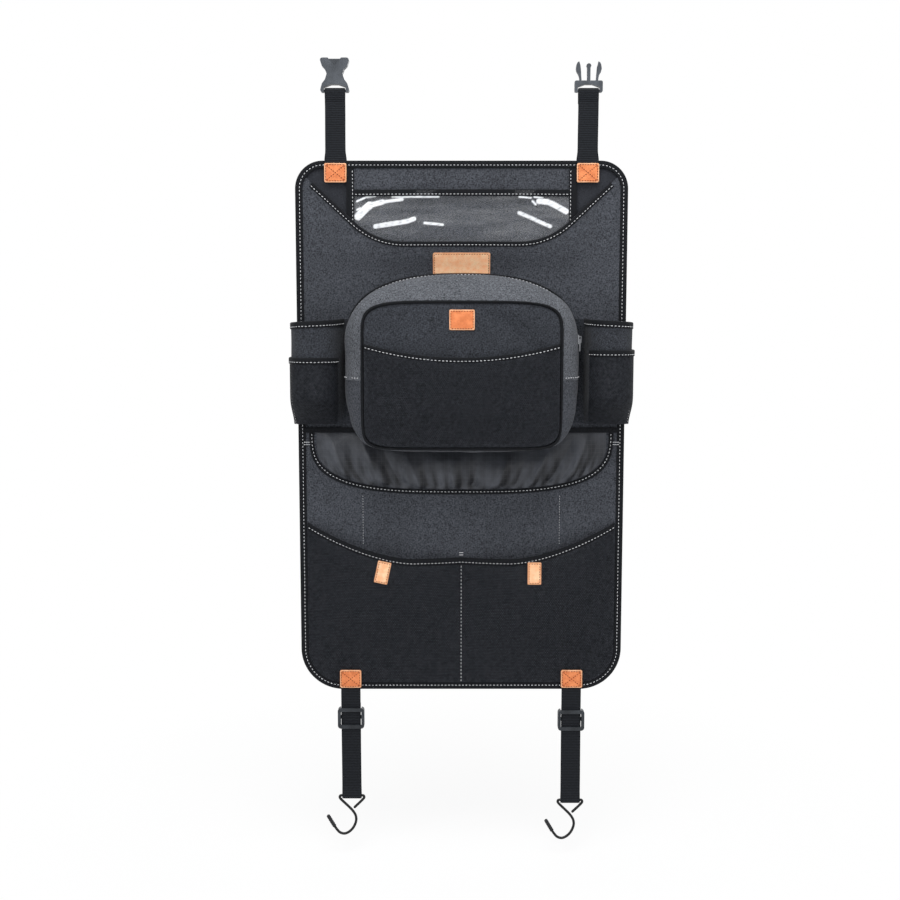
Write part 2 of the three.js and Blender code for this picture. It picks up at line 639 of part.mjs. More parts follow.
// Side pockets: each wall leaves the panel's edge, bulges forward and turns back beside the pouch
function cupPath(row) {
  const [open, wide] = [smoothstep(row, -0.12, 0.3), lerp(0.92, 1, smoothstep(row, 0, 0.25))];
  const root = EDGE_FRONT + GAP + CUP.wall / 2;
  const middle = (CUP.outer + CUP.inner) / 2;
  const half = (CUP.outer - CUP.inner) / 2;
  const points = [
    [SIDE - CUP_ROOT, root],
    ...CUP_PLAN.map(([across, out]) => [
      middle + half * across * wide,
      root + (CUP.depth - root) * out * open,
    ]),
    [CUP.inner - CUP_TURN, FLANGE_REAR + CUP.wall / 2],
    [CUP_FLANGE, FLANGE_REAR + CUP.wall / 2],
  ];
  const path = points.map(([x, depth]) => new THREE.Vector3(x, depth, 0));
  return new THREE.CatmullRomCurve3(path, false, 'centripetal');
}

function cupPoint(sign, row, u, out, z) {
  const curve = cupPath(row);
  const point = curve.getPoint(u);
  const along = curve.getTangent(u);
  const depth = Math.max(point.y, FLANGE_REAR + CUP.wall / 2);
  return at(sign * (point.x + along.y * out), depth - along.x * out, z);
}

const cupRim = (u) => lerp(CUP.outerRim, CUP.innerRim, u);
const tapeFree = (rim) => (u) => rim(u) - TAPE_PLY - GAP;

// A sheet in the wall's shape and rows, up to its own rim
function cupSheet(sign, columns, rows, out, thickness, rim) {
  const wallTop = tapeFree(cupRim);
  const point = (u, row, lift) => {
    const z = Math.min(lerp(CUP.foot, wallTop(u), row), rim(u));
    return cupPoint(sign, (z - CUP.foot) / (wallTop(u) - CUP.foot), u, out + lift, z);
  };
  return loft(rows.map((row) => [
    ...columns.map((u) => point(u, row, thickness)),
    ...columns.map((u) => point(u, row, 0)).reverse(),
  ]), 'strip');
}

function buildSidePocket(name, sign) {
  const columns = steps(20);
  const rows = [0, 0.08, 0.17, 0.28, 0.6, 1];
  const wall = cupSheet(sign, columns, rows, -CUP.wall / 2, CUP.wall, tapeFree(cupRim));
  add(`bottle_pocket_${name}`, wall, canvas);

  const bound = (list, rim, out) => list.map((u) => (inset, lift) => (
    cupPoint(sign, 1, u, out + lift, rim(u) - inset)
  ));
  add(`bottle_binding_${name}`, foldedTape(bound(columns.slice(2, 17), cupRim, -CUP.wall / 2), {
    width: CUP.tape, ply: TAPE_PLY, sheet: CUP.wall,
  }), binding);

  const meshOut = CUP.wall / 2 + PLY_ROOM;
  const meshRim = () => CUP_MESH_RIM[name];
  const meshColumns = columns.slice(3, 14);
  const overlay = cupSheet(sign, meshColumns, rows, meshOut, MESH, tapeFree(meshRim));
  add(`bottle_mesh_${name}`, overlay, net);
  add(`bottle_mesh_binding_${name}`, foldedTape(bound(meshColumns, meshRim, meshOut), {
    width: CUP_MESH_TAPE, ply: TAPE_PLY, sheet: MESH,
  }), binding);

  const ends = [BAND.inner, BAND.outer].map((x) => sign * x).sort((a, b) => a - b);
  const rear = EDGE_FRONT + GAP;
  add(`bottle_band_${name}`, block(ends, [rear, rear + STRIP], [BAND.foot, BAND.top]), binding);
}

// Gathered pocket under the pouch
const gatherFoot = (x) => -GATHER.depth
  * Math.max(1 - Math.abs(x / GATHER.halfWidth) ** GATHER.power, 0) ** (1 / GATHER.power);

function gatherDepth(x, z) {
  const underPouch = POUCH.seam - POUCH.footDrop[1] - 3;
  const pouchSide = POUCH.halfWidth[0] - 12;
  const top = lerp(underPouch, BAND.foot - 1, smoothstep(Math.abs(x), pouchSide, pouchSide + 20));
  const height = Math.min(Math.max((z - gatherFoot(x)) / (top - gatherFoot(x)), 0), 1);
  const crest = 0.5 - 0.5 * Math.cos(2 * Math.PI * x * GATHER.pleats / (2 * GATHER.halfWidth));
  const puff = GATHER.puff * Math.sin(Math.PI * height) ** 0.8;
  return CANVAS_FRONT + GAP + puff + GATHER.pleat * crest * (1 - height) ** 1.2;
}

function buildGatheredPocket() {
  const side = GATHER.halfWidth - 2;
  const columns = between(-side, side, 2 * GATHER.pleats);
  const place = (x, row) => [x, lerp(gatherFoot(x), BAND.foot - GAP, row)];
  add('gathered_pocket', sheet(columns, [0, 0.14, 0.3, 0.48, 0.64, 0.78, 1], place, gatherDepth, MESH), nylon);

  const seam = between(0.04, 0.96, 34).map((s) => {
    const angle = -Math.PI * s;
    const grip = 2 / GATHER.power;
    const point = (out) => [
      (GATHER.halfWidth + out) * signedPower(Math.cos(angle), grip),
      (GATHER.depth + out) * signedPower(Math.sin(angle), grip),
    ];
    const [near, far] = [point(GAP + 1.2), point(GATHER.tape)];
    const rear = CANVAS_FRONT + GAP;
    return [at(near[0], rear, near[1]), at(far[0], rear, far[1]),
      at(far[0], rear + 2 * TAPE_PLY, far[1]), at(near[0], rear + 2 * TAPE_PLY, near[1])];
  });
  add('gathered_binding', loft(seam, 'fan'), binding);
}

// Net pockets at the foot, with a seam in the middle
const footMeshTop = (x) => FOOT_MESH.centre - FOOT_MESH.stitch + FOOT_MESH.tape
  + FOOT_MESH.rise * (Math.max(Math.abs(x) - FOOT_MESH.flat, 0) / (FOOT_MESH.reach - FOOT_MESH.flat)) ** 1.6;

function footMeshDepth(x, z) {
  const across = Math.max(Math.sin(Math.min(Math.abs(x) / EDGE_INNER, 1) * Math.PI), 0) ** 0.7;
  const foot = panelFoot(x, EDGE_TAPE);
  const up = smoothstep((z - foot) / (footMeshTop(x) - foot), 0.04, 0.7);
  return MESH_BASE + FOOT_MESH.bulge * across * up;
}

function buildFootPockets() {
  const inset = EDGE_TAPE + GAP;
  const place = (x, row) => [x, lerp(panelFoot(x, inset), footMeshTop(x) - TAPE_PLY - GAP, row)];
  const columns = mirrored([
    0, 4, ...between(14, SIDE - PANEL.bottomRadius, 8), ...cornerColumns(inset + 0.4).slice(1),
  ]);
  add('mesh_pocket', sheet(columns, [0, 0.15, 0.3, 0.5, 0.75, 1], place, footMeshDepth, MESH), net);

  const stations = columns.slice(1, -1).map((x) => (down, lift) => (
    at(x, footMeshDepth(x, footMeshTop(x)) + lift, footMeshTop(x) - down)
  ));
  add('mesh_pocket_binding', foldedTape(stations, {
    width: FOOT_MESH.tape, ply: TAPE_PLY, sheet: MESH,
  }), binding);

  for (const [name, { x, lean }] of Object.entries(TABS)) {
    const z = footMeshTop(x) - FOOT_MESH.tape + TAB.lap;
    const depth = footMeshDepth(x, z) + MESH + GAP + TAPE_PLY + GAP;
    const shape = roundedShape(TAB.width, TAB.length, TAB.radius);
    const body = plate(shape, 0, TAB.thickness).translate(0, 0, -TAB.length / 2);
    add(`tab_${name}`, body.rotateY(-degToRad(lean)).translate(x, -depth, z), leather);
  }
}

// Straps
function buildPatches() {
  const shape = roundedShape(PATCH.width, PATCH.height, 2);
  for (const [name, sign] of [['left', -1], ['right', 1]]) {
    const top = TOP_STRAP_REAR + WEBBING + GAP;
    const topPatch = plate(shape, top, top + LEATHER).translate(sign * PATCH.topX, 0, PATCH.level);
    add(`patch_top_${name}`, topPatch, leather);
    const foot = FOOT_STRAP_REAR + WEBBING + GAP;
    const footPatch = plate(shape, foot, foot + LEATHER).translate(sign * STRAP.footX, 0, -PATCH.level);
    add(`patch_foot_${name}`, footPatch, leather);
  }
}

// A strap that runs from its sewn end to a bar, round it, and back behind itself
function loopedPath(rear, sewnEnd, level, barRadius, backEnd) {
  const front = rear + WEBBING / 2;
  const back = front - WEBBING - GAP;
  const middle = (front + back) / 2;
  const turn = Math.sign(level - sewnEnd);
  const radius = barRadius + LOOP_GAP + WEBBING / 2;
  const round = steps(8).map((s) => {
    const angle = Math.PI * s;
    return [middle + radius * Math.cos(angle), level + turn * radius * Math.sin(angle)];
  });
  const spread = STRAP.doubled * 0.6;
  return [
    [front, sewnEnd],
    [front, level - turn * STRAP.doubled],
    [(middle + radius + front) / 2, level - turn * spread],
    ...round,
    [(middle - radius + back) / 2, level - turn * spread],
    [back, level - turn * STRAP.doubled],
    [back, backEnd],
  ];
}

const barDepth = (rear) => rear + WEBBING / 2 - (WEBBING + GAP) / 2;

function buildStraps() {
  for (const [name, sign] of [['left', -1], ['right', 1]]) {
    const backEnd = BUCKLE.level - STRAP.doubled - 2;
    add(`strap_top_${name}`, ribbon(sign * STRAP.topX, STRAP.width,
      loopedPath(TOP_STRAP_REAR, STRAP.sewnEnd, BUCKLE.level, BUCKLE.bar / 2, backEnd), WEBBING), webbing);
    const footBackEnd = GLIDE[name] + GLIDE.height / 2 + 6;
    add(`strap_foot_${name}`, ribbon(sign * STRAP.footX, STRAP.width,
      loopedPath(FOOT_STRAP_REAR, -STRAP.sewnEnd, HOOK[name], HOOK.wire, footBackEnd), WEBBING), webbing);
  }
}

// Buckle halves
const SLOT = { width: STRAP.width + 2 * GLIDE_PLAY, height: 6.2 };

function buckleSlot() {
  const low = BUCKLE.bar / 2;
  const shape = new THREE.Shape().moveTo(-SLOT.width / 2, low).lineTo(SLOT.width / 2, low);
  shape.lineTo(SLOT.width / 2, low + SLOT.height * 0.45);
  shape.quadraticCurveTo(0, low + SLOT.height * 1.6, -SLOT.width / 2, low + SLOT.height * 0.45);
  return shape;
}

// The bar is thinner than the frame, so that the webbing can turn round it
function aroundBar(face) {
  const [x, z] = [SLOT.width / 2, BUCKLE.bar / 2];
  return [[-face - 1, -z], [z, face + 1]].map((depths) => block([-x, x], depths, [-z - 1, z + 0.1]));
}

function buildSocket() {
  const half = BUCKLE.width / 2;
  const foot = -BUCKLE.bar / 2;
  const top = foot + BUCKLE.height;
  const outline = new THREE.Shape().moveTo(-half + 2, foot).lineTo(half - 2, foot);
  const right = SOCKET_SIDE.map(([share, up]) => [half * share, foot + up]);
  const left = right.map(([x, z]) => [-x, z]).reverse();
  outline.quadraticCurveTo(half, foot, ...right[0]);
  outline.bezierCurveTo(...right.slice(1, 4).flat()).bezierCurveTo(...right.slice(4).flat());
  outline.quadraticCurveTo(half, top, half - 3, top).lineTo(-half + 3, top);
  outline.quadraticCurveTo(-half, top, ...left[0]);
  outline.bezierCurveTo(...left.slice(1, 4).flat()).bezierCurveTo(...left.slice(4).flat());
  outline.quadraticCurveTo(-half, foot, -half + 2, foot);

  const [rear, front] = [-BUCKLE.thickness / 2, BUCKLE.thickness / 2];
  const mouth = BUCKLE.thickness / 2 - 2;
  const neck = half * SOCKET_WAIST - 2.2;
  const notch = new THREE.Shape().moveTo(-9, top + 1).lineTo(0, top - 9).lineTo(9, top + 1);
  const hollow = join(
    block([-half + 3, half - 3], [-mouth, mouth], [top - 10, top + 1]),
    block([-neck, neck], [-mouth, mouth], [foot + 17, top - 9]),
  );
  const body = cut(plate(outline, rear, front), plate(buckleSlot(), rear - 1, front + 1), hollow,
    plate(notch, mouth - 1, front + 1), ...aroundBar(front));
  add('buckle_socket', body.translate(-STRAP.topX, -barDepth(TOP_STRAP_REAR), BUCKLE.level), plastic);
}

function buildPlug() {
  const half = BUCKLE.width / 2 - 0.4;
  const foot = -BUCKLE.bar / 2;
  const base = foot + PLUG.base;
  const tip = foot + PLUG.reach;
  const frame = new THREE.Shape().moveTo(-half + 2, foot).lineTo(half - 2, foot);
  frame.quadraticCurveTo(half, foot, half, foot + 2).lineTo(half, base - 2);
  frame.quadraticCurveTo(half, base, half - 2, base).lineTo(-half + 2, base);
  frame.quadraticCurveTo(-half, base, -half, base - 2).lineTo(-half, foot + 2);
  frame.quadraticCurveTo(-half, foot, -half + 2, foot);
  const { prongInner: inner, prongOuter: outer, barb, barbHeight } = PLUG;
  const prong = new THREE.Shape().moveTo(inner, base - 1).lineTo(outer, base - 1);
  prong.bezierCurveTo(outer, base + 9, barb, base + 8, barb, base + barbHeight);
  prong.quadraticCurveTo(barb - 0.5, tip, outer + 0.5, tip);
  prong.bezierCurveTo(inner + 0.5, tip - 6, inner + 1, base + 9, inner, base - 1);
  const guide = new THREE.Shape().moveTo(-2, base - 1).lineTo(2, base - 1).lineTo(2, tip - 7);
  guide.absarc(0, tip - 5, PLUG.guide, -0.8, Math.PI + 0.8);
  guide.lineTo(-2, base - 1);

  const arm = (shape) => plate(shape, -1.8, 1.8);
  const mirror = prong.getPoints(5).map((point) => new THREE.Vector2(-point.x, point.y)).reverse();
  const thick = BUCKLE.thickness / 2 - 1.2;
  const body = cut(join(plate(frame, -thick, thick), arm(prong), arm(new THREE.Shape(mirror)), arm(guide)),
    plate(buckleSlot(), -thick - 1, thick + 1), ...aroundBar(thick));
  add('buckle_plug', body.translate(STRAP.topX, -barDepth(TOP_STRAP_REAR), BUCKLE.level), plastic);
}

// Strap slides: both plies run straight through, behind the outer bars and in front of the middle one
function buildGlides() {
  const [x, z] = [GLIDE.width / 2, GLIDE.height / 2];
  const opening = STRAP.width / 2 + GLIDE_PLAY;
  const rear = barDepth(FOOT_STRAP_REAR) - WEBBING - GAP / 2 - GAP;
  const front = barDepth(FOOT_STRAP_REAR) + WEBBING + GAP / 2 + GAP;
  for (const [name, sign] of [['left', -1], ['right', 1]]) {
    const [back, face] = [rear - GLIDE.thickness, front + GLIDE.thickness];
    const outline = plate(roundedShape(GLIDE.width, GLIDE.height, 4), back, face);
    const body = cut(
      outline,
      block([-opening, opening], [rear, front], [-z - 1, z + 1]),
      block([-opening, opening], [front - 1, face + 1], [GLIDE.bar - z, z - GLIDE.bar]),
      block([-opening, opening], [back - 1, rear + 1], [GLIDE.bar / 2, z + 1]),
      block([-opening, opening], [back - 1, rear + 1], [-z - 1, -GLIDE.bar / 2]),
    );
    add(`tri_glide_${name}`, body.translate(sign * STRAP.footX, 0, GLIDE[name]), plastic);
  }
}

// Wire hooks: an open triangle round the strap's loop, then an S down to the tip.
// The route is measured from the middle of the bar in the loop.
function hookCurve() {
  const route = [
    [2.4, -16.6], [14.6, -4.4], [15.7, -2.6], [15.3, -0.6], [14, 0], [0, 0],
    [-14, 0], [-15.3, -0.6], [-15.7, -2.6], [-14.6, -4.4],
    [0.6, -20], [4.6, -27], [5, -34], [1.3, -43], [-4, -48.5],
    [-9.8, -51], [-15.8, -49.5], [-20, -45], [-24.5, -38], [-31.4, -26],
  ];
  return new THREE.CatmullRomCurve3(route.map(([x, z]) => new THREE.Vector3(x, z, 0)), false, 'centripetal');
}

function buildHooks() {
  const curve = hookCurve();
  const sleeveStart = 1 - HOOK.sleeveLength / curve.getLength();
  const points = between(0, 1, 44).map((s) => curve.getPointAt(s)).map((p) => new THREE.Vector2(p.x, p.y));
  const sleeveLine = (from, to) => between(from, to, 5).map((s) => {
    const point = curve.getPointAt(s);
    return new THREE.Vector2(point.x, point.y);
  });
  const beyond = sleeveLine(sleeveStart, 1);
  const tipStep = beyond.at(-1).clone().sub(beyond.at(-2)).normalize();
  const longer = [...beyond, beyond.at(-1).clone().addScaledVector(tipStep, 1.6)];
  const start = beyond[0].clone().sub(beyond[1]).normalize().add(beyond[0]);
  const bore = [start, ...beyond, beyond.at(-1).clone().addScaledVector(tipStep, GAP)];
  for (const [name, sign] of [['left', -1], ['right', 1]]) {
    const place = (geometry) => geometry.translate(sign * STRAP.footX, -barDepth(FOOT_STRAP_REAR), HOOK[name]);
    add(`hook_${name}`, place(roundWire(points, 0, HOOK.wire, 7)), wire);
    add(`hook_sleeve_${name}`, place(cut(roundWire(longer, 0, HOOK.sleeve, 8),
      roundWire(bore, 0, HOOK.wire + GAP, 8))), binding);
  }
}

buildPanel();
buildWindow();
buildFrontPanel();
buildPouch();
buildPouchMesh();
buildZipSlider();
buildSidePocket('left', -1);
buildSidePocket('right', 1);
buildGatheredPocket();
buildFootPockets();
buildPatches();
buildStraps();
buildSocket();
buildPlug();
buildGlides();
buildHooks();

export default organizer;
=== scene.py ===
import math

import bmesh
import bpy
import numpy as np
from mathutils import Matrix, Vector


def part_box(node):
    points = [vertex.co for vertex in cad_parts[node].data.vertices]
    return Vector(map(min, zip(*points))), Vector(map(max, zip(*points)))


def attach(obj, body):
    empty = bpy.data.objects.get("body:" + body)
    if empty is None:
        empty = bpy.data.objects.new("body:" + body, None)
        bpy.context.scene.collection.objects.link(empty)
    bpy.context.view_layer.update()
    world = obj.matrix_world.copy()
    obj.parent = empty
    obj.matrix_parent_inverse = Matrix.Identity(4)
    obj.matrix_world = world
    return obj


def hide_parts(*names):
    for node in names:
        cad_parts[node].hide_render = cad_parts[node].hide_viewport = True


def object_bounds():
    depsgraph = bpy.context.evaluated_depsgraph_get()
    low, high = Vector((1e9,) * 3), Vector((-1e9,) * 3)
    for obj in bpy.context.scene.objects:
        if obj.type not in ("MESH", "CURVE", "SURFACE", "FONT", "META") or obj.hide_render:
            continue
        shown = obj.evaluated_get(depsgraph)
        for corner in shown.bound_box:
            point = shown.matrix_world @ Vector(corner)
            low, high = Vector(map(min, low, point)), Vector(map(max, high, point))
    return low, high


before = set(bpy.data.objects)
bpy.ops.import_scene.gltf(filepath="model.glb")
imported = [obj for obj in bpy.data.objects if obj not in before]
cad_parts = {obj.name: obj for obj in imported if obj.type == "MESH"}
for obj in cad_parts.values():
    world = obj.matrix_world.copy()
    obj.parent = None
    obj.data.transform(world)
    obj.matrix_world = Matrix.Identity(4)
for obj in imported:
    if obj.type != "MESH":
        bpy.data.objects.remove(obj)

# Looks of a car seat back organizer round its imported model.
# Lengths are millimetres up to the mesh helpers, which turn them into metres.
# A point is x to the right, depth forward of the panel's rear face, and z up.
cad_low, cad_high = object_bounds()
MM = 0.001
BODY = "organizer"
SIDES = (("left", -1), ("right", 1))

# Layers, as in the part
GAP = 0.3
CANVAS = 1.0
MESH = 0.8
FILM = 0.4
LEATHER = 1.5
WEBBING = 1.6
EDGE_PLY = 0.9
TAPE_PLY = 0.8
STRIP = 1.0

# Panel
PANEL_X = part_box("edge_binding")[1].x / MM
PANEL_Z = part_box("edge_binding")[1].z / MM
PANEL_THICK = 4
TOP_RADIUS = 34
FOOT_RADIUS = 53
EDGE_TAPE = 9.4
EDGE_STITCH = 5.6
RIM_REAR = 1.3
SHEET_INSET = 1.5
CANVAS_REAR = PANEL_THICK + GAP
CANVAS_FRONT = CANVAS_REAR + CANVAS
OVER_CANVAS = CANVAS_FRONT + GAP
EDGE_FRONT = OVER_CANVAS + EDGE_PLY
PLY_ROOM = TAPE_PLY + 2 * GAP

# Window pocket
WINDOW_X = 130.8
WINDOW_TAPE = 9
WINDOW_MOUTH = 295
WINDOW_FOOT = 222
WINDOW_BACKING_FOOT = 218
WINDOW_TAPE_FOOT = 246
WINDOW_BULGE = 5.5
FILM_REAR = CANVAS_FRONT + PLY_ROOM - GAP
WINDOW_TAPE_REAR = FILM_REAR + FILM + GAP
# Painted highlights on the film, white strokes along its creases: a line of x and z, and its width
PAINTED_GLINTS = [
    ([(-126, 263), (-118, 271), (-112, 276)], 8.8),
    ([(-112, 276), (-96, 280)], 5.6),
    ([(-96, 280), (-72, 283)], 3.1),
    ([(-105, 251), (-66, 257), (-58, 260)], 5.0),
    ([(-45, 255), (-23, 253)], 2.5),
    ([(-127, 281), (-118, 285)], 2.0),
    ([(-116, 286), (-105, 287)], 1.8),
    ([(-127, 271), (-123, 273)], 1.8),
    ([(-84, 286), (-28, 286)], 1.4),
    ([(94, 281), (105, 280), (114, 276), (127, 269)], 6.2),
    ([(70, 267), (85, 261), (98, 255), (108, 251)], 3.8),
    ([(86, 281), (90, 277)], 1.8),
    ([(70, 286), (84, 285)], 1.5),
    ([(88, 286), (98, 285)], 1.5),
]

# Scooped front panel
SCOOP_LEVEL = 232.5
SCOOP_FLAT = 70
SCOOP_RADIUS = 88
SCOOP_ANGLE = math.radians(42.8)
SCOOP_TAPE = 6.2
SCOOP_END = 181
SCOOP_BOW = 5.8
SCOOP_SETTLE = 40
SCOOP_TUCK = 4
SCOOP_EASE = 28
SCOOP_SIDE = PANEL_THICK + PLY_ROOM
SCOOP_OVER_WINDOW = WINDOW_TAPE_REAR + STRIP + PLY_ROOM
LABEL = ((35, 14), 205)

# Pouch sections at the rear, the widest place and the front
POUCH_X = (136, 141, 119)
POUCH_RISE = (83.6, 84, 52)
POUCH_DROP = (85, 88, 82)
POUCH_TOP_POWER = (3.1, 2.4, 5.2)
POUCH_FOOT_POWER = (3.2, 3.2, 9)
POUCH_SHOULDER = 108
POUCH_SEAM = 66
POUCH_MIDDLE = 87
POUCH_WIDEST = 0.43
POUCH_DEEP = 61
POUCH_WALL = 1.2
CUP_WALL = 1.2
NARROWEST_SHEET = 10
ZIP_START = 17
ZIP_WIDTH = 6.4
ZIP_END = ZIP_START + ZIP_WIDTH
PIPING = 1.9
POUCH_MESH_SIDE = 111
POUCH_MESH_CENTRE = 94
POUCH_MESH_INSET = 4.5
POUCH_MESH_BULGE = 6
POUCH_LABEL = ((15, 12), 138)
# The front's crown, and the dent that leans over its upper right: place, half sizes, lean and depth
POUCH_CROWN = 3
DENT = (58, 128)
DENT_SIZE = (42, 11)
DENT_LEAN = math.radians(-38)
DENT_DEPTH = 4
FLANGE_REAR = OVER_CANVAS
POUCH_REAR = FLANGE_REAR + CUP_WALL + GAP
GUSSET_REAR = POUCH_REAR + CANVAS + GAP
GUSSET_FRONT = GUSSET_REAR + POUCH_DEEP
PIPING_DEPTH = GUSSET_FRONT + GAP + PIPING
FRONT_REAR = PIPING_DEPTH - POUCH_WALL / 2

# Side pockets
CUP_FOOT = 10
CUP_RIM = (133, 141)
CUP_DEPTH = 60
CUP_X = (153, 206)
CUP_FLANGE = 126
CUP_TURN = 138
CUP_SEWN = 6
CUP_MESH_RIM = {"left": 93, "right": 102}
BAND_X = (130, 195)
BAND_Z = (-1.4, 5)

# Gathered pocket and net pockets at the foot
GATHER_X = 182
GATHER_Z = 72
GATHER_POWER = 3.2
GATHER_PUFF = 9
GATHER_ENDS = 30
EDGE_TACK = (192, -15)
PLEATS = 24
PLEAT_LIFT = 1.9
# Folds of the gathered nylon: height, width and shift
LARGE_FOLDS = (18, 45, 4)
SMALL_FOLDS = (4.2, 14.3, 1)
FOOT_CENTRE = -164.5
FOOT_RISE = 45.5
FOOT_FLAT = 60
FOOT_REACH = 194
FOOT_BULGE = 14
FOOT_TAPE = 8.8
FOOT_STITCH = 3
FOOT_TACK = -154
FOOT_SEAM_END = -320
MESH_BASE = CANVAS_FRONT + PLY_ROOM
# Leather tabs on the foot net's tape: half size, and each one's place and lean in degrees
TAB = (8.5, 14)
TABS = (("left", -95, -12), ("right", 91, 0))
# Rows of stitches up the canvas above the foot net
CANVAS_ROWS = (-123, 123)
CANVAS_ROW_TOP = -80

# Straps
STRAP_WIDTH = 24.6
TOP_STRAP_X = 152.6
FOOT_STRAP_X = 140
STRAP_END = 306
FLARE_LEVEL = 330
DOUBLED = 13
LOOP_GAP = 0.8
TOP_STRAP_REAR = EDGE_FRONT + GAP
NET_SETTLE = 0.55
FOOT_STRAP_REAR = MESH_BASE + MESH + NET_SETTLE + GAP
BAR_LEVEL = 411.5
BAR_HALF = 1.5
HOOK_LEVEL = {"left": -469.5, "right": -475.5}
GLIDE_LEVEL = {"left": -366.3, "right": -369}
ABOVE_GLIDE = 19.3
WIRE_RADIUS = 1.5
WIRE_SHOWN = 1.65
SLEEVE_RADIUS = 2.35
SLEEVE_LENGTH = 17.6
# The wire of a hook from its end to its tip, as x and z from the middle of its bar
HOOK_ROUTE = [
    (2.4, -16.6), (14.6, -4.4), (15.7, -2.6), (15.3, -0.6), (14, 0), (7, 0), (0, 0), (-7, 0), (-14, 0),
    (-15.3, -0.6), (-15.7, -2.6), (-14.6, -4.4), (0.6, -20), (4.6, -27), (5, -34), (1.3, -43), (-4, -48.5),
    (-9.8, -51), (-15.8, -49.5), (-20, -45), (-24.5, -38), (-31.4, -26),
]
PATCH = (27, 23)
PATCH_X = 153
PATCH_Z = 314.8

# Camera, in metres and degrees
LENS = 48
TARGET = Vector((-0.0141, 0, -0.024))
DISTANCE = 1.5
ELEVATION = 6.4
# Lamps: name, place, size and watts
LAMPS = (
    ("key", (-1.3, -2.2, 1.6), 1.6, 26), ("fill", (1.7, -2.0, 0.5), 1.8, 12),
    ("top", (0.1, -0.9, 2.0), 1.2, 34), ("rear", (0.4, 2.2, 1.2), 1.6, 15),
)
SOFT_LIGHT = 0.42
FLOOR_REACH = 6
FLOOR_BELOW = 0.02


# Colours and materials
def linear(red, green, blue):
    def channel(value):
        value /= 255
        return value / 12.92 if value <= 0.04045 else ((value + 0.055) / 1.055) ** 2.4

    return (channel(red), channel(green), channel(blue), 1)


class Nodes:
    """A node tree with short ways to add to it."""

    def __init__(self, tree):
        self.tree = tree

    def feed(self, socket, value):
        if isinstance(value, bpy.types.NodeSocket):
            self.tree.links.new(value, socket)
        else:
            socket.default_value = value

    def node(self, kind, inputs=(), **settings):
        made = self.tree.nodes.new(kind)
        for name, value in settings.items():
            setattr(made, name, value)
        for key, value in dict(inputs).items():
            self.feed(made.inputs[key], value)
        return made

    def math(self, operation, first, second=0.5, third=None):
        made = self.node("ShaderNodeMath", {0: first, 1: second}, operation=operation)
        if third is not None:
            made.inputs[2].default_value = third
        return made.outputs["Value"]

    def seen(self):
        """1 for the rays that show the background: straight, mirrored or through glass."""
        rays = self.node("ShaderNodeLightPath").outputs
        direct = self.math("MAXIMUM", rays["Is Camera Ray"], rays["Is Glossy Ray"])
        return self.math("MAXIMUM", direct, rays["Is Transmission Ray"])


class Finish(Nodes):
    """A node material with helpers for procedural textures in the piece's own coordinates."""

    def __init__(self, name, roughness, **sockets):
        self.material = bpy.data.materials.new(name)
        self.material.use_nodes = True
        super().__init__(self.material.node_tree)
        self.shader = self.tree.nodes["Principled BSDF"]
        self.shader.inputs["Roughness"].default_value = roughness
        for socket, value in sockets.items():
            self.shader.inputs[socket.replace("_", " ")].default_value = value
        self.coords = self.tree.nodes.new("ShaderNodeTexCoord").outputs["Object"]

    def scaled(self, x, y, z):
        return self.node("ShaderNodeMapping", {"Vector": self.coords, "Scale": (x, y, z)}).outputs["Vector"]

    def noise(self, scale, detail=2, vector=None, rough=0.5):
        return self.node("ShaderNodeTexNoise", {
            "Vector": vector or self.coords, "Scale": scale, "Detail": detail, "Roughness": rough,
        }).outputs["Fac"]

    def bands(self, period, direction, profile="SIN"):
        return self.node("ShaderNodeTexWave", {
            "Vector": self.coords, "Scale": math.tau / (20 * period * MM),
        }, wave_type="BANDS", bands_direction=direction, wave_profile=profile).outputs["Fac"]

    def ramp(self, factor, *stops):
        """Stops are places with colours: three shares of 255, or four plain values."""
        made = self.node("ShaderNodeValToRGB", {"Fac": factor})
        elements = made.color_ramp.elements
        while len(elements) < len(stops):
            elements.new(0.5)
        for element, (place, color) in zip(elements, stops):
            element.position = place
            element.color = linear(*color) if len(color) == 3 else color
        return made.outputs["Color"]

    def mix(self, factor, first, second, blend="MIX"):
        inputs = {0: factor, 6: first, 7: second}
        return self.node("ShaderNodeMix", inputs, data_type="RGBA", blend_type=blend).outputs[2]

    def set(self, name, value):
        self.tree.links.new(value, self.shader.inputs[name])
        return self

    def bump(self, height, strength, distance):
        inputs = {"Height": height, "Strength": strength, "Distance": distance * MM}
        return self.set("Normal", self.node("ShaderNodeBump", inputs).outputs["Normal"])


def woven_color(finish, dark, light):
    """Short threads of two shades running both ways, over a slow change of tone."""
    across = finish.noise(1, 2, finish.scaled(420, 700, 1150))
    along = finish.noise(1, 2, finish.scaled(1150, 700, 420))
    threads = finish.math("MULTIPLY", finish.math("ADD", across, along), 0.5)
    fleck = finish.ramp(threads, (0.37, dark), (0.63, light))
    slow = finish.ramp(finish.noise(14, 3), (0.3, (0.88, 0.88, 0.88, 1)), (0.7, (1.08, 1.08, 1.08, 1)))
    return finish.mix(1.0, fleck, slow, "MULTIPLY")


def canvas_finish(name, dark, light, period=1.1, depth=0.25, roughness=0.92, sheen=0.06):
    finish = Finish(name, roughness, Specular_IOR_Level=0.1, Sheen_Weight=sheen, Sheen_Roughness=0.6)
    finish.set("Base Color", woven_color(finish, dark, light))
    weave = finish.math("MULTIPLY", finish.bands(period, "X"), finish.bands(period, "Z"))
    height = finish.math("ADD", weave, finish.math("MULTIPLY", finish.noise(500, 3), 0.7))
    return finish.bump(height, 0.55, depth).material


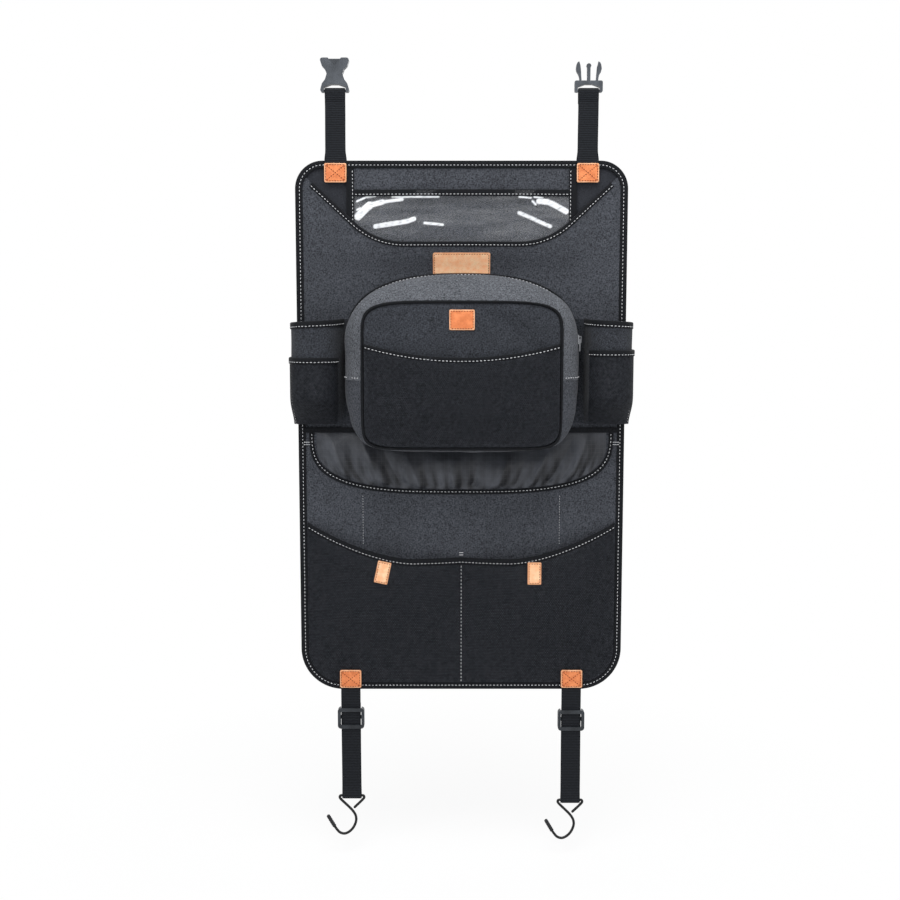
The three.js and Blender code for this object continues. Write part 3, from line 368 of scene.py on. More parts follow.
def tape_finish(name, dark, light, period, direction, roughness=0.72):
    finish = Finish(name, roughness, Specular_IOR_Level=0.1, Sheen_Weight=0.03, Sheen_Roughness=0.5)
    ribs = finish.bands(period, direction)
    shade = finish.math("MULTIPLY", finish.math("ADD", ribs, finish.noise(700, 2)), 0.5)
    finish.set("Base Color", finish.ramp(shade, (0.25, dark), (0.75, light)))
    return finish.bump(finish.math("ADD", ribs, finish.noise(1200, 2)), 0.5, 0.22).material


def thread_finish(name, dark, light):
    return tape_finish(name, dark, light, 0.6, "DIAGONAL", 0.6)


def nylon_finish():
    finish = Finish("ripstop_nylon", 0.42, Specular_IOR_Level=0.3, Sheen_Weight=0.05, Sheen_Roughness=0.35)
    lines = [finish.bands(5.2, direction, "SAW") for direction in ("X", "Z")]
    grid = finish.math("GREATER_THAN", finish.math("MAXIMUM", *lines), 0.93)
    cloth = finish.ramp(finish.noise(60, 4), (0.3, (40, 42, 46)), (0.7, (56, 58, 63)))
    # Painted light and shade: each facet of a fold is lighter or darker by its slope, as if lit from one
    # side
    painted_facet_shade = finish.node("ShaderNodeAttribute", attribute_name="painted_facet_shade").outputs["Fac"]
    shade = finish.ramp(painted_facet_shade, (0.1, (0.38, 0.38, 0.4, 1)), (0.9, (2.1, 2.1, 2.1, 1)))
    cloth = finish.mix(1.0, cloth, shade, "MULTIPLY")
    finish.set("Base Color", finish.mix(finish.math("MULTIPLY", grid, 0.3), cloth, linear(80, 82, 88)))
    finish.set("Roughness", finish.math("MULTIPLY_ADD", finish.noise(40, 3), 0.25, 0.34))
    height = finish.math("ADD", finish.noise(130, 4), finish.math("MULTIPLY", grid, 0.3))
    return finish.bump(height, 0.5, 0.9).material


def net_finish(name, pitch, strand):
    """A knitted net: round holes on a triangular grid, cut out by alpha."""
    finish = Finish(name, 0.7, Specular_IOR_Level=0.1)
    finish.set("Base Color", finish.ramp(finish.noise(300, 2), (0.3, (26, 28, 32)), (0.7, (48, 50, 55))))
    split = finish.node("ShaderNodeSeparateXYZ", {"Vector": finish.coords})
    turn = math.tau / (pitch * MM)
    x = finish.math("MULTIPLY", split.outputs["X"], turn)
    z = finish.math("MULTIPLY", split.outputs["Z"], turn / math.sqrt(3))
    waves = [
        finish.math("COSINE", finish.math("MULTIPLY", z, 2.0)),
        finish.math("COSINE", finish.math("ADD", x, z)),
        finish.math("COSINE", finish.math("SUBTRACT", x, z)),
    ]
    total = finish.math("ADD", finish.math("ADD", waves[0], waves[1]), waves[2])
    finish.set("Alpha", finish.math("LESS_THAN", total, strand))
    return finish.bump(finish.math("MULTIPLY", total, -1.0), 0.4, 0.3).material


def film_finish():
    """Clear film with a faint whitish haze in streaks, partly painted sheen, and painted white highlights
    where an attribute on the film marks them.
    """
    finish = Finish("clear_film", 0.12, IOR=1.4, Specular_IOR_Level=0.35)
    # Streaky noise for a faint whitish haze, partly real cloudiness and partly a painted sheen of soft
    # reflections
    haze_and_sheen_streaks = finish.noise(1, 3, finish.scaled(14, 40, 70), 0.6)
    finish.set("Base Color", finish.ramp(haze_and_sheen_streaks, (0.3, (226, 230, 236)), (0.7, (252, 253, 255))))
    # Painted highlights: the film turns white and nearly opaque where the glint attribute is high
    painted_glint = finish.node("ShaderNodeAttribute", attribute_name="painted_glint").outputs["Fac"]
    haze_and_sheen = finish.ramp(haze_and_sheen_streaks, (0.45, (0.025,) * 3 + (1,)), (0.75, (0.07,) * 3 + (1,)))
    finish.set("Alpha", finish.math("MAXIMUM", haze_and_sheen, painted_glint))
    return finish.bump(finish.noise(26, 3), 0.3, 1.5).material


def leather_finish(name, dark, light):
    finish = Finish(name, 0.55)
    tone = finish.ramp(finish.noise(150, 4), (0.3, dark), (0.7, light))
    cells = finish.node("ShaderNodeTexVoronoi", {"Vector": finish.coords, "Scale": 520}).outputs["Distance"]
    pores = finish.ramp(cells, (0.0, (0.62, 0.56, 0.5, 1)), (0.35, (1, 1, 1, 1)))
    finish.set("Base Color", finish.mix(0.5, tone, pores, "MULTIPLY"))
    finish.set("Roughness", finish.math("MULTIPLY_ADD", finish.noise(120, 3), 0.25, 0.42))
    return finish.bump(finish.math("ADD", cells, finish.noise(260, 4)), 0.5, 0.3).material


def moulded_finish(name, dark, light, roughness, grain=600, metallic=0.0, depth=0.08):
    finish = Finish(name, roughness, Metallic=metallic, Specular_IOR_Level=0.3)
    wear = finish.noise(70, 4)
    finish.set("Base Color", finish.ramp(wear, (0.3, dark), (0.72, light)))
    finish.set("Roughness", finish.math("MULTIPLY_ADD", finish.noise(90, 3), 0.2, roughness - 0.1))
    return finish.bump(finish.noise(grain, 3), 0.35, depth).material


MATERIALS = {
    "canvas": canvas_finish("heather_canvas", (36, 38, 42), (84, 87, 94)),
    # Darker canvas for the pouch's face and the side pockets, partly a darker fabric and partly painted
    # shade; lighter canvas for the pouch's upper bands, partly a lighter fabric and partly painted light
    # from above
    "dark_shaded_canvas": canvas_finish("dark_shaded_heather_canvas", (26, 28, 31), (66, 69, 76)),
    "light_lit_canvas": canvas_finish("light_lit_heather_canvas", (48, 50, 54), (112, 115, 121)),
    "lining": canvas_finish("smooth_lining", (36, 38, 43), (50, 52, 58), 0.7, 0.12, 0.72, 0.05),
    "tape": tape_finish("grosgrain_tape", (10, 11, 13), (27, 29, 33), 0.9, "DIAGONAL"),
    "webbing": tape_finish("ribbed_webbing", (12, 13, 16), (34, 37, 42), 2.1, "Z", 0.62),
    "thread": thread_finish("stitch_thread", (200, 201, 204), (238, 239, 241)),
    "dark_thread": thread_finish("dark_thread", (20, 21, 24), (42, 44, 48)),
    "tan_thread": thread_finish("tan_thread", (104, 44, 20), (150, 72, 38)),
    "nylon": nylon_finish(),
    "net": net_finish("knitted_net", 2.3, 0.55),
    "close_net": net_finish("close_knitted_net", 2.0, 1.5),
    "film": film_finish(),
    "leather": leather_finish("tan_leather", (206, 112, 60), (232, 140, 84)),
    "pale_leather": leather_finish("pale_leather", (252, 178, 128), (255, 212, 170)),
    "cut_edge": leather_finish("cut_leather_edge", (214, 146, 100), (242, 184, 142)),
    "plastic": moulded_finish("moulded_plastic", (56, 60, 65), (80, 84, 90), 0.42),
    "sleeve": moulded_finish("vinyl_sleeve", (14, 14, 16), (34, 35, 38), 0.45, 300, 0.0, 0.2),
    "wire": moulded_finish("black_wire", (6, 7, 8), (18, 19, 21), 0.5, 500, 0.0),
    "dark_plastic": moulded_finish("dark_moulded_plastic", (30, 33, 37), (52, 56, 61), 0.4),
    "metal": moulded_finish("dark_nickel", (104, 106, 110), (150, 152, 156), 0.3, 400, 1.0),
}


# Mesh helpers
def make(name, points, faces, material, body=BODY, sharp=50):
    mesh = bpy.data.meshes.new(name)
    world = np.asarray(points, float).reshape(-1, 3) * (MM, -MM, MM)
    mesh.from_pydata(world.tolist(), [], faces)
    mesh.materials.append(MATERIALS[material])
    shape = bmesh.new()
    shape.from_mesh(mesh)
    bmesh.ops.recalc_face_normals(shape, faces=shape.faces)
    shape.to_mesh(mesh)
    shape.free()
    mesh.shade_smooth()
    mesh.set_sharp_from_angle(angle=math.radians(sharp))
    piece = bpy.data.objects.new(name, mesh)
    bpy.context.scene.collection.objects.link(piece)
    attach(piece, body)
    return piece


def grid_faces(rows, columns, start=0, wrap=False):
    last = columns if wrap else columns - 1
    return [
        (start + r * columns + c, start + r * columns + (c + 1) % columns,
         start + (r + 1) * columns + (c + 1) % columns, start + (r + 1) * columns + c)
        for r in range(rows - 1) for c in range(last)
    ]


def loft(rings, joined=False):
    """Points and faces of a tube through rings of equal length."""
    rings = np.asarray(rings, float)
    count, size = rings.shape[:2]
    faces = grid_faces(count, size, wrap=True)
    if joined:
        last = (count - 1) * size
        faces += [(last + i, last + (i + 1) % size, (i + 1) % size, i) for i in range(size)]
    else:
        faces += [tuple(range(size)), tuple(range((count - 1) * size, count * size))]
    return rings.reshape(-1, 3), faces


def unit(vectors):
    return vectors / np.maximum(np.linalg.norm(vectors, axis=-1, keepdims=True), 1e-9)


def points_at(x, depth, z):
    return np.stack(np.broadcast_arrays(x, depth, z), -1)


def run_of(points):
    """The way along a line to each of its points."""
    return np.concatenate([[0], np.cumsum(np.linalg.norm(np.diff(points, axis=0), axis=1))])


# Curves and waves
def smoothstep(value, low, high):
    t = np.clip((value - low) / (high - low), 0, 1)
    return t * t * (3 - 2 * t)


def mix(first, second, t):
    return first + (second - first) * t


def signed_power(value, power):
    return np.sign(value) * np.abs(value) ** power


def arch(x, half, power):
    """1 in the middle of a rounded arch, falling to 0 at half."""
    return np.maximum(1 - np.abs(x / half) ** power, 0) ** (1 / power)


def dome(x, half):
    """A cosine from 1 in the middle to 0 at half and past it."""
    return np.maximum(np.cos(np.minimum(np.abs(x) / half, 1) * math.pi / 2), 0)


def ripple(x, z, seed, length):
    """Soft creases: waves in several directions, from -1 to 1, with about this wavelength."""
    random = np.random.default_rng(seed)
    waves, total = 7, 0
    for _ in range(waves):
        angle, phase = random.uniform(0, math.pi), random.uniform(0, math.tau)
        turn = math.tau / (length * random.uniform(0.6, 1.7))
        total = total + np.sin(turn * (x * math.cos(angle) + z * math.sin(angle)) + phase)
    return total / waves * 1.6


# Shapes shared with the part
def edge_height(x, inset, radius):
    past = np.maximum(np.abs(x) - PANEL_X + radius, 0)
    return PANEL_Z - radius + np.sqrt(np.maximum((radius - inset) ** 2 - past ** 2, 0))


def panel_top(x, inset):
    return edge_height(x, inset, TOP_RADIUS)


def panel_foot(x, inset):
    return -edge_height(x, inset, FOOT_RADIUS)


def sheet_foot(x):
    return panel_foot(x, SHEET_INSET)


def rim_distance(x, z):
    """How far in from the panel's outline a point lies."""
    def inside(radius, up):
        past, above = np.abs(x) - PANEL_X + radius, up * z - PANEL_Z + radius
        corner = (past > 0) & (above > 0)
        return radius - np.where(corner, np.hypot(past, above), np.maximum(past, above))

    return np.minimum(inside(TOP_RADIUS, 1), inside(FOOT_RADIUS, -1))


def heading(degrees):
    angle = math.radians(degrees)
    return np.array([math.cos(angle), math.sin(angle)])


def panel_frames(step):
    """Points round the panel's outline with their outward directions."""
    corners = [
        (PANEL_X - FOOT_RADIUS, FOOT_RADIUS - PANEL_Z, FOOT_RADIUS, -90),
        (PANEL_X - TOP_RADIUS, PANEL_Z - TOP_RADIUS, TOP_RADIUS, 0),
        (TOP_RADIUS - PANEL_X, PANEL_Z - TOP_RADIUS, TOP_RADIUS, 90),
        (FOOT_RADIUS - PANEL_X, FOOT_RADIUS - PANEL_Z, FOOT_RADIUS, 180),
    ]
    points, outward = [], []
    for i, (cx, cz, radius, start) in enumerate(corners):
        centre = np.array([cx, cz])
        count = math.ceil(radius * math.pi / 2 / step)
        for s in range(count + 1):
            outward.append(heading(start + 90 * s / count))
            points.append(centre + radius * outward[-1])
        next_x, next_z, reach, turn = corners[(i + 1) % 4]
        here, target = points[-1], np.array([next_x, next_z]) + reach * heading(turn)
        pieces = math.ceil(np.linalg.norm(target - here) / step)
        for s in range(1, pieces):
            points.append(mix(here, target, s / pieces))
            outward.append(outward[-1])
    return np.array(points), np.array(outward)


def film_depth(x, z):
    return FILM_REAR + WINDOW_BULGE * dome(x, WINDOW_X) ** 0.8 * smoothstep(z, WINDOW_FOOT, WINDOW_MOUTH)


def scoop_height(x):
    run = np.abs(x) - SCOOP_FLAT
    bend = SCOOP_RADIUS * math.sin(SCOOP_ANGLE)
    drop = np.sqrt(np.maximum(SCOOP_RADIUS ** 2 - np.clip(run, 0, bend) ** 2, 0))
    return SCOOP_LEVEL + SCOOP_RADIUS - drop + np.maximum(run - bend, 0) * math.tan(SCOOP_ANGLE)


def front_depth(x, z):
    side = WINDOW_X + WINDOW_TAPE + 2
    over = SCOOP_OVER_WINDOW + SCOOP_BOW * dome(x, side) ** 2
    edge = mix(over, SCOOP_SIDE, smoothstep(np.abs(x), side, side + SCOOP_EASE))
    start = EDGE_TAPE + 4 * GAP
    near = smoothstep(z, SCOOP_LEVEL - SCOOP_SETTLE, SCOOP_LEVEL)
    near = near * smoothstep(rim_distance(x, z), start, start + SCOOP_TUCK)
    return CANVAS_REAR + (edge - CANVAS_REAR) * near


def swell(values, t):
    rear, middle, front = values
    behind = middle + (rear - middle) * (np.maximum(POUCH_WIDEST - t, 0) / POUCH_WIDEST) ** 2
    ahead = middle + (front - middle) * (np.maximum(t - POUCH_WIDEST, 0) / (1 - POUCH_WIDEST)) ** 2
    return np.where(t < POUCH_WIDEST, behind, ahead)


def at_places(places, run, values):
    return np.stack([np.interp(places, run, column) for column in values.T], -1)


def even(points, count, closed=False):
    """Points spread evenly along a line of points."""
    if closed:
        points = np.concatenate([points, points[:1]])
    run = run_of(points)
    places = np.linspace(0, run[-1], count + 1)[:-1] if closed else np.linspace(0, run[-1], count)
    return at_places(places, run, points)


def pouch_half(t, inset, upper):
    """Half of the pouch's section as x and z: right to left over the top, or left to right below."""
    angle = np.linspace(0, math.pi, 600) + (0 if upper else math.pi)
    grip = 2 / swell(POUCH_TOP_POWER if upper else POUCH_FOOT_POWER, t)
    width = swell(POUCH_X, t) - inset
    height = swell(POUCH_RISE if upper else POUCH_DROP, t) - inset
    x = width * signed_power(np.cos(angle), grip)
    z = (POUCH_SHOULDER if upper else POUCH_SEAM) + height * signed_power(np.sin(angle), grip)
    if upper:
        x, z = [np.concatenate([a[:1], a, a[-1:]]) for a in (x, z)]
        z[0] = z[-1] = POUCH_SEAM + GAP / 2
    return np.stack([x, z], -1)


def pouch_row(depth, inset, part, count):
    """Even points round the pouch at a depth: its upper part, its lower part, or the whole ring."""
    t = (depth - GUSSET_REAR) / POUCH_DEEP
    upper, lower = [pouch_half(t, inset, upper) for upper in (True, False)]
    chosen = {"upper": upper, "lower": lower, "ring": np.concatenate([upper[1:-1], lower])}[part]
    flat = even(chosen, count, closed=part == "ring")
    return points_at(flat[:, 0], float(depth), flat[:, 1])


def front_crown(x, z):
    top, foot = POUCH_SHOULDER + POUCH_RISE[2], POUCH_SEAM - POUCH_DROP[2]
    crown = (1 - (x / POUCH_X[2]) ** 2) * (1 - ((z - (top + foot) / 2) / ((top - foot) / 2)) ** 2)
    right, up = x - DENT[0], z - DENT[1]
    along = right * math.cos(DENT_LEAN) + up * math.sin(DENT_LEAN)
    across = up * math.cos(DENT_LEAN) - right * math.sin(DENT_LEAN)
    dent = np.exp(-((along / DENT_SIZE[0]) ** 2) - (across / DENT_SIZE[1]) ** 2)
    inside = POUCH_CROWN * np.maximum(crown, 0)
    return FRONT_REAR + inside - DENT_DEPTH * dent * np.minimum(inside, 1)


def pouch_mesh_top(x):
    return mix(POUCH_MESH_CENTRE, POUCH_MESH_SIDE, (x / POUCH_X[2]) ** 2)


def pouch_mesh_depth(x, z):
    side, foot = POUCH_X[2] - POUCH_MESH_INSET, POUCH_SEAM - POUCH_DROP[2]
    bulge = POUCH_MESH_BULGE * dome(x, side) ** 0.6 * smoothstep(z, foot, foot + 50)
    return front_crown(x, z) + POUCH_WALL + PLY_ROOM + bulge


# The side pocket's wall round its outer and inner side: shares of its half width and of its depth
CUP_OUTER = [(0.95, 0.06), (1, 0.3), (0.93, 0.64), (0.62, 0.9), (0.1, 1)]
CUP_INNER = {
    -1: [(-0.42, 0.95), (-0.82, 0.78), (-1.08, 0.5), (-1.24, 0.26), (-1.36, 0.09)],
    1: [(-0.45, 0.93), (-0.84, 0.72), (-1.0, 0.4), (-1.12, 0.08)],
}


def cup_path(row, sign):
    opening, wide = smoothstep(row, -0.12, 0.3), mix(0.92, 1, smoothstep(row, 0, 0.25))
    root = EDGE_FRONT + GAP + CUP_WALL / 2
    middle, half = (CUP_X[0] + CUP_X[1]) / 2, (CUP_X[1] - CUP_X[0]) / 2
    wall = [
        (middle + half * across * wide, root + (CUP_DEPTH - root) * out * opening)
        for across, out in CUP_OUTER + CUP_INNER[sign]
    ]
    flange = FLANGE_REAR + CUP_WALL / 2
    return np.array([(PANEL_X - CUP_SEWN, root), *wall, (CUP_TURN, flange), (CUP_FLANGE, flange)])


def spline(points, u):
    """A centripetal curve through points, with its unit tangents."""
    padded = np.concatenate([[2 * points[0] - points[1]], points, [2 * points[-1] - points[-2]]])
    place = np.clip(u, 0, 1) * (len(points) - 1)
    i = np.minimum(place.astype(int), len(points) - 2)
    t = (place - i)[:, None]
    p0, p1, p2, p3 = (padded[i + k] for k in range(4))
    spans = (p1 - p0, p2 - p1, p3 - p2)
    d0, d1, d2 = (np.sqrt(np.linalg.norm(span, axis=1, keepdims=True)) for span in spans)
    m1 = ((p1 - p0) / d0 - (p2 - p0) / (d0 + d1) + (p2 - p1) / d1) * d1
    m2 = ((p2 - p1) / d1 - (p3 - p1) / (d1 + d2) + (p3 - p2) / d2) * d1
    c2, c3 = -3 * p1 + 3 * p2 - 2 * m1 - m2, 2 * p1 - 2 * p2 + m1 + m2
    along = m1 + 2 * c2 * t + 3 * c3 * t * t
    return p1 + m1 * t + c2 * t * t + c3 * t ** 3, unit(along)


def cup_rim(u):
    return mix(CUP_RIM[0], CUP_RIM[1], u)


def cup_points(sign, row, u, out, z):
    """Points on the side pocket's wall line at one height row, moved outward."""
    place, along = spline(cup_path(row, sign), u)
    depth = np.maximum(place[:, 1], FLANGE_REAR + CUP_WALL / 2)
    return points_at(sign * (place[:, 0] + along[:, 1] * out), depth - along[:, 0] * out, z)


def gather_foot(x):
    return -GATHER_Z * arch(x, GATHER_X, GATHER_POWER)


def gather_height(x, z):
    """Share of the way up the gathered pocket, to the pouch's outline or to the side pocket's band."""
    pouch = POUCH_SEAM - (POUCH_DROP[1] + 2) * arch(x, POUCH_X[1] + 2, POUCH_FOOT_POWER[1])
    top = np.minimum(pouch, BAND_Z[0] - 1)
    return np.clip((z - gather_foot(x)) / (top - gather_foot(x)), 0, 1)


def gather_depth(x, z):
    height = gather_height(x, z)
    crest = 0.5 - 0.5 * np.cos(math.pi * x * PLEATS / GATHER_X)
    puff = GATHER_PUFF * np.sin(math.pi * height) ** 0.8
    return OVER_CANVAS + puff + PLEAT_LIFT * crest * (1 - height) ** 1.2


def foot_mesh_top(x):
    run = np.maximum(np.abs(x) - FOOT_FLAT, 0) / (FOOT_REACH - FOOT_FLAT)
    return FOOT_CENTRE - FOOT_STITCH + FOOT_TAPE + FOOT_RISE * run ** 1.6


def foot_mesh_depth(x, z):
    inner = PANEL_X - EDGE_TAPE
    across = np.maximum(np.sin(np.minimum(np.abs(x) / inner, 1) * math.pi), 0) ** 0.7
    foot = panel_foot(x, EDGE_TAPE)
    return MESH_BASE + FOOT_BULGE * across * smoothstep((z - foot) / (foot_mesh_top(x) - foot), 0.04, 0.7)


# Pieces that several parts are made of
def spread(half, step, corner=0):
    """Columns to either side of the middle, closer together in the corner."""
    positive = np.linspace(0, half - corner, math.ceil((half - corner) / step) + 1)
    if corner:
        closer = np.sin(np.linspace(0, math.pi / 2, 14))[1:]
        positive = np.concatenate([positive, half - corner + corner * closer])
    return np.concatenate([-positive[:0:-1], positive])


def slab(name, rear, front, material):
    """A closed body between two grids of points."""
    rows, columns = rear.shape[:2]
    size = rows * columns
    faces = grid_faces(rows, columns) + grid_faces(rows, columns, size)
    edge = ([(0, c) for c in range(columns)] + [(r, columns - 1) for r in range(1, rows)]
            + [(rows - 1, c) for c in range(columns - 2, -1, -1)] + [(r, 0) for r in range(rows - 2, 0, -1)])
    ring = [r * columns + c for r, c in edge]
    faces += [(a, b, b + size, a + size) for a, b in zip(ring, ring[1:] + ring[:1])]
    return make(name, np.concatenate([rear.reshape(-1, 3), front.reshape(-1, 3)]), faces, material)


def outward_of(grid, outward=(0, 1, 0)):
    """Unit normals of a grid, turned to the side of outward."""
    normal = unit(np.cross(np.gradient(grid, axis=1), np.gradient(grid, axis=0)))
    return -normal if (normal * outward).sum() < 0 else normal


def threads(name, middles, along, away, length, radius, material="thread"):
    """Short rounded threads that lie on a surface and dip in at their ends."""
    middles, along, away = (np.asarray(a, float) for a in (middles, along, away))
    side = np.cross(along, away)
    turns = np.linspace(0, math.tau, 5, endpoint=False)
    rings = []
    section = ((-0.5, 0.5, -0.5), (-0.36, 0.9, 0.3), (0, 1, 0.5), (0.36, 0.9, 0.3), (0.5, 0.5, -0.5))
    for reach, size, rise in section:
        centre = middles + along * reach * length + away * rise * radius
        rings.append(np.stack([
            centre + radius * size * (side * math.cos(a) + away * math.sin(a)) for a in turns
        ], 1))
    points = np.stack(rings, 1)
    thread, pattern = loft(points[0])
    faces = [tuple(len(thread) * i + k for k in face) for i in range(len(middles)) for face in pattern]
    return make(name, points, faces, material, sharp=180)


def seam(name, line, away=(0, 1, 0), pitch=4.4, length=2.3, radius=0.42, material="thread"):
    """A row of stitches along a line of points."""
    line = np.asarray(line, float)
    away = np.broadcast_to(np.asarray(away, float), line.shape)
    run = run_of(line)
    count = max(int(run[-1] / pitch), 1)
    places = (np.arange(count) + 0.5) * run[-1] / count

    along = unit(at_places(places + 0.4, run, line) - at_places(places - 0.4, run, line))
    up = unit(at_places(places, run, away))
    up = unit(up - along * (along * up).sum(1, keepdims=True))
    return threads(name, at_places(places, run, line), along, up, length, radius, material)


def fold_section(width, ply, inside, stitch):
    """Insets and lifts of a tape folded over an edge, out round it and back inside."""
    low, high = -(GAP + ply), inside + GAP + ply
    middle, outer = (low + high) / 2, (high - low) / 2
    inner, reach = outer - ply, min(outer, 1.5)
    turn = np.linspace(-math.pi / 2, math.pi / 2, 9)
    flat = np.array([width, width - 0.35, stitch + 1.5, stitch + 0.6, stitch, stitch - 0.6, stitch - 1.5])
    flat = flat[flat > reach + 0.1]
    flat = np.concatenate([flat[:2], np.sort(flat[2:][flat[2:] < width - 0.5])[::-1]])
    dip = 0.26 * np.exp(-((flat - stitch) / 0.7) ** 2)
    dip[0] += 0.3 * ply
    outside = np.concatenate([
        np.stack([flat, low + dip], -1),
        np.stack([reach * (1 - np.cos(turn)), middle + outer * np.sin(turn)], -1),
        np.stack([flat, high - dip], -1)[::-1],
    ])
    within = np.concatenate([
        [(width, inside + GAP)],
        np.stack([ply + 0.6 * (1 - np.cos(turn)), middle + inner * np.sin(turn)], -1)[::-1],
        [(width, -GAP)],
    ])
    return np.concatenate([outside, within]), high


def tape(name, node, place, width, ply, inside, stitch, joined=False, seed=1, pucker=0.18, seam_on=True):
    """A tape folded over an edge and stitched through its front. Place maps insets and lifts to points."""
    section, high = fold_section(width, ply, inside, stitch)
    rings = place(section[None, :, 0], section[None, :, 1])
    count = len(rings)
    random = np.random.default_rng(seed)
    waves = sum(
        np.sin(math.tau * (np.arange(count) * turns / count + random.random())) for turns in
        (count // 7, count // 11, count // 19)
    )
    front = (section[:, 1] > high - ply - 0.1) & (section[:, 0] > 0.5)
    loose = np.clip(np.abs(section[:, 0] - stitch) / 3, 0, 1) * front
    rings[..., 1] += pucker * waves[:, None] * loose[None, :] * 0.5
    replace(make(name, *loft(rings, joined=joined), "tape", sharp=60), node)
    if seam_on:
        line = place(np.array([[float(stitch)]]), np.array([[high - 0.22]]))[:, 0]
        if joined:
            line = np.concatenate([line, line[:1]])
        seam(name + "_stitches", line)


def rounded_ring(half_x, half_z, radius):
    """Points round a rounded rectangle with its middle at the origin."""
    x, z = half_x - radius, half_z - radius
    corners = ((x, -z, -90), (x, z, 0), (-x, z, 90), (-x, -z, 180))
    points = [
        np.array([cx, cz]) + radius * heading(turn)
        for cx, cz, start in corners for turn in np.linspace(start, start + 90, 7)
    ]
    return even(np.array(points), max(int(4 * (half_x + half_z)), 40), closed=True)


def leather(name, node, centre, half, radius, depth, thickness, lean=0, material="leather", cross=False):
    """A leather patch for a node, at a depth or on a surface, with rounded pale edges and stitching."""
    turn = math.radians(lean)

    def placed(ring, lift):
        x = centre[0] + ring[:, 0] * math.cos(turn) - ring[:, 1] * math.sin(turn)
        z = centre[1] + ring[:, 0] * math.sin(turn) + ring[:, 1] * math.cos(turn)
        return points_at(x, found(depth, x, z) + lift, z)

    def outline(inset):
        return rounded_ring(half[0] - inset, half[1] - inset, max(radius - inset, 0.5))

    size = len(outline(0))
    rings = [placed(outline(0) * scale, 0) for scale in (0.02, 0.4, 1)]
    for inset, lift in ((0, 0.6), (0.12, 0.85), (0.5, 1), (0.95, 1.02), (1.5, 1), (1.9, 0.86), (2.3, 1)):
        rings.append(even(placed(outline(inset), thickness * lift), size, closed=True))
    for scale in (0.72, 0.5, 0.25, 0.02):
        worn = 0.12 * ripple(outline(0)[:, 0] * scale, outline(0)[:, 1] * scale, 101, 14)
        rings.append(even(placed(outline(0) * scale, thickness + worn), size, closed=True))
    piece = replace(make(name, *loft(rings), material, sharp=60), node)
    piece.data.materials.append(MATERIALS["cut_edge"])
    for face in piece.data.polygons[2 * size:7 * size]:
        face.material_index = 1
    inner = outline(1.9)
    runs = [placed(np.concatenate([inner, inner[:1]]), thickness - 0.05)]
    if cross:
        corner = np.array([half[0] - 2.6, half[1] - 2.6])
        for i, flip in enumerate((1, -1)):
            line = np.linspace(-1, 1, 20)[:, None] * corner * (1, flip)
            runs.append(placed(line, thickness + 0.05 + 0.1 * i))
    for i, run in enumerate(runs):
        seam(f"{name}_stitches_{i}", run, pitch=3.1, length=1.9, radius=0.44, material="tan_thread")


def cloth(name, rear, thickness, material, node):
    """A sheet that stands for a node, from its rear surface, with its thickness to the front."""
    return replace(slab(name, rear, rear + outward_of(rear) * thickness, material), node)


def mark(piece, name, values):
    """Puts a value at each point of a sheet's two sides, for its material."""
    marks = piece.data.attributes.new(name, "FLOAT", "POINT")
    marks.data.foreach_set("value", np.concatenate([values.ravel(), values.ravel()]).astype(np.float32))


def sheet(piece, surface, held, *rests_on):
    """Works out a sheet of cloth's flat size from its surface, width square to the columns and length along,
    and its area; nothing keeps them.
    """
    across, up = np.diff(surface, axis=1)[1:], np.diff(surface, axis=0)
    first = surface[1:, 1:] - surface[:-1, :-1]
    second = surface[1:, :-1] - surface[:-1, 1:]
    area = 0.5 * np.linalg.norm(np.cross(first, second), axis=2).sum()
    steps = np.linalg.norm(up, axis=2)
    column = up[:, 1:] / np.maximum(steps[:, 1:, None], 1e-9)
    square = across - column * (across * column).sum(-1, keepdims=True)
    width = np.linalg.norm(square, axis=2).sum(axis=1).max()
    length = steps.sum(axis=0).max()
    flat, area = (width * MM, length * MM), min(area, width * length) * MM * MM


def replace(piece, *nodes):
    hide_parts(*nodes)
    return piece


def found(value, *place):
    """A number as it is, or what a function gives at a place."""
    return value(*place) if callable(value) else value


def on_rim(x, top, depth):
    """Maps insets and lifts of a tape on a rim to points, from the rim's columns, top and surface."""
    def place(inset, lift):
        z = found(top, x) - inset
        return points_at(x, depth(x, z) + lift, z)

    return place


def height_map(columns, foot, top, count, depth):
    """A grid of points between foot and top at a depth, each a number or a function."""
    x = np.broadcast_to(np.asarray(columns, float), (count, len(columns)))
    z = mix(found(foot, x), found(top, x), np.linspace(0, 1, count)[:, None])
    return points_at(x, found(depth, x, z), z)


# Panel
def build_panel():
    half = PANEL_X - SHEET_INSET
    columns = spread(half, 5, FOOT_RADIUS)

    def grid(depth):
        return height_map(columns, sheet_foot, lambda x: panel_top(x, SHEET_INSET), 130, depth)

    def rear(x, z):
        inside = smoothstep(rim_distance(x, z), EDGE_TAPE + GAP, EDGE_TAPE + 3.5)
        soft = 0.35 * (1 + ripple(x, z, 3, 80)) * smoothstep(rim_distance(x, z), 12, 40)
        return mix(RIM_REAR, soft, inside)

    panel = replace(slab("padded_panel", grid(rear), grid(PANEL_THICK), "lining"), "back_panel")

    points, outward = panel_frames(1.6)

    def place(inset, lift):
        flat = points[:, None] - outward[:, None] * inset[..., None]
        return points_at(flat[..., 0], RIM_REAR + lift, flat[..., 1])

    inside = CANVAS_FRONT - RIM_REAR
    tape("edge_tape", "edge_binding", place, EDGE_TAPE, EDGE_PLY, inside, EDGE_STITCH, True, 5, 0.22)
    rear_line = place(np.array([[EDGE_STITCH]]), np.array([[-(GAP + EDGE_PLY) + 0.22]]))[:, 0]
    seam("edge_tape_rear_stitches", np.concatenate([rear_line, rear_line[:1]]), away=(0, -1, 0))


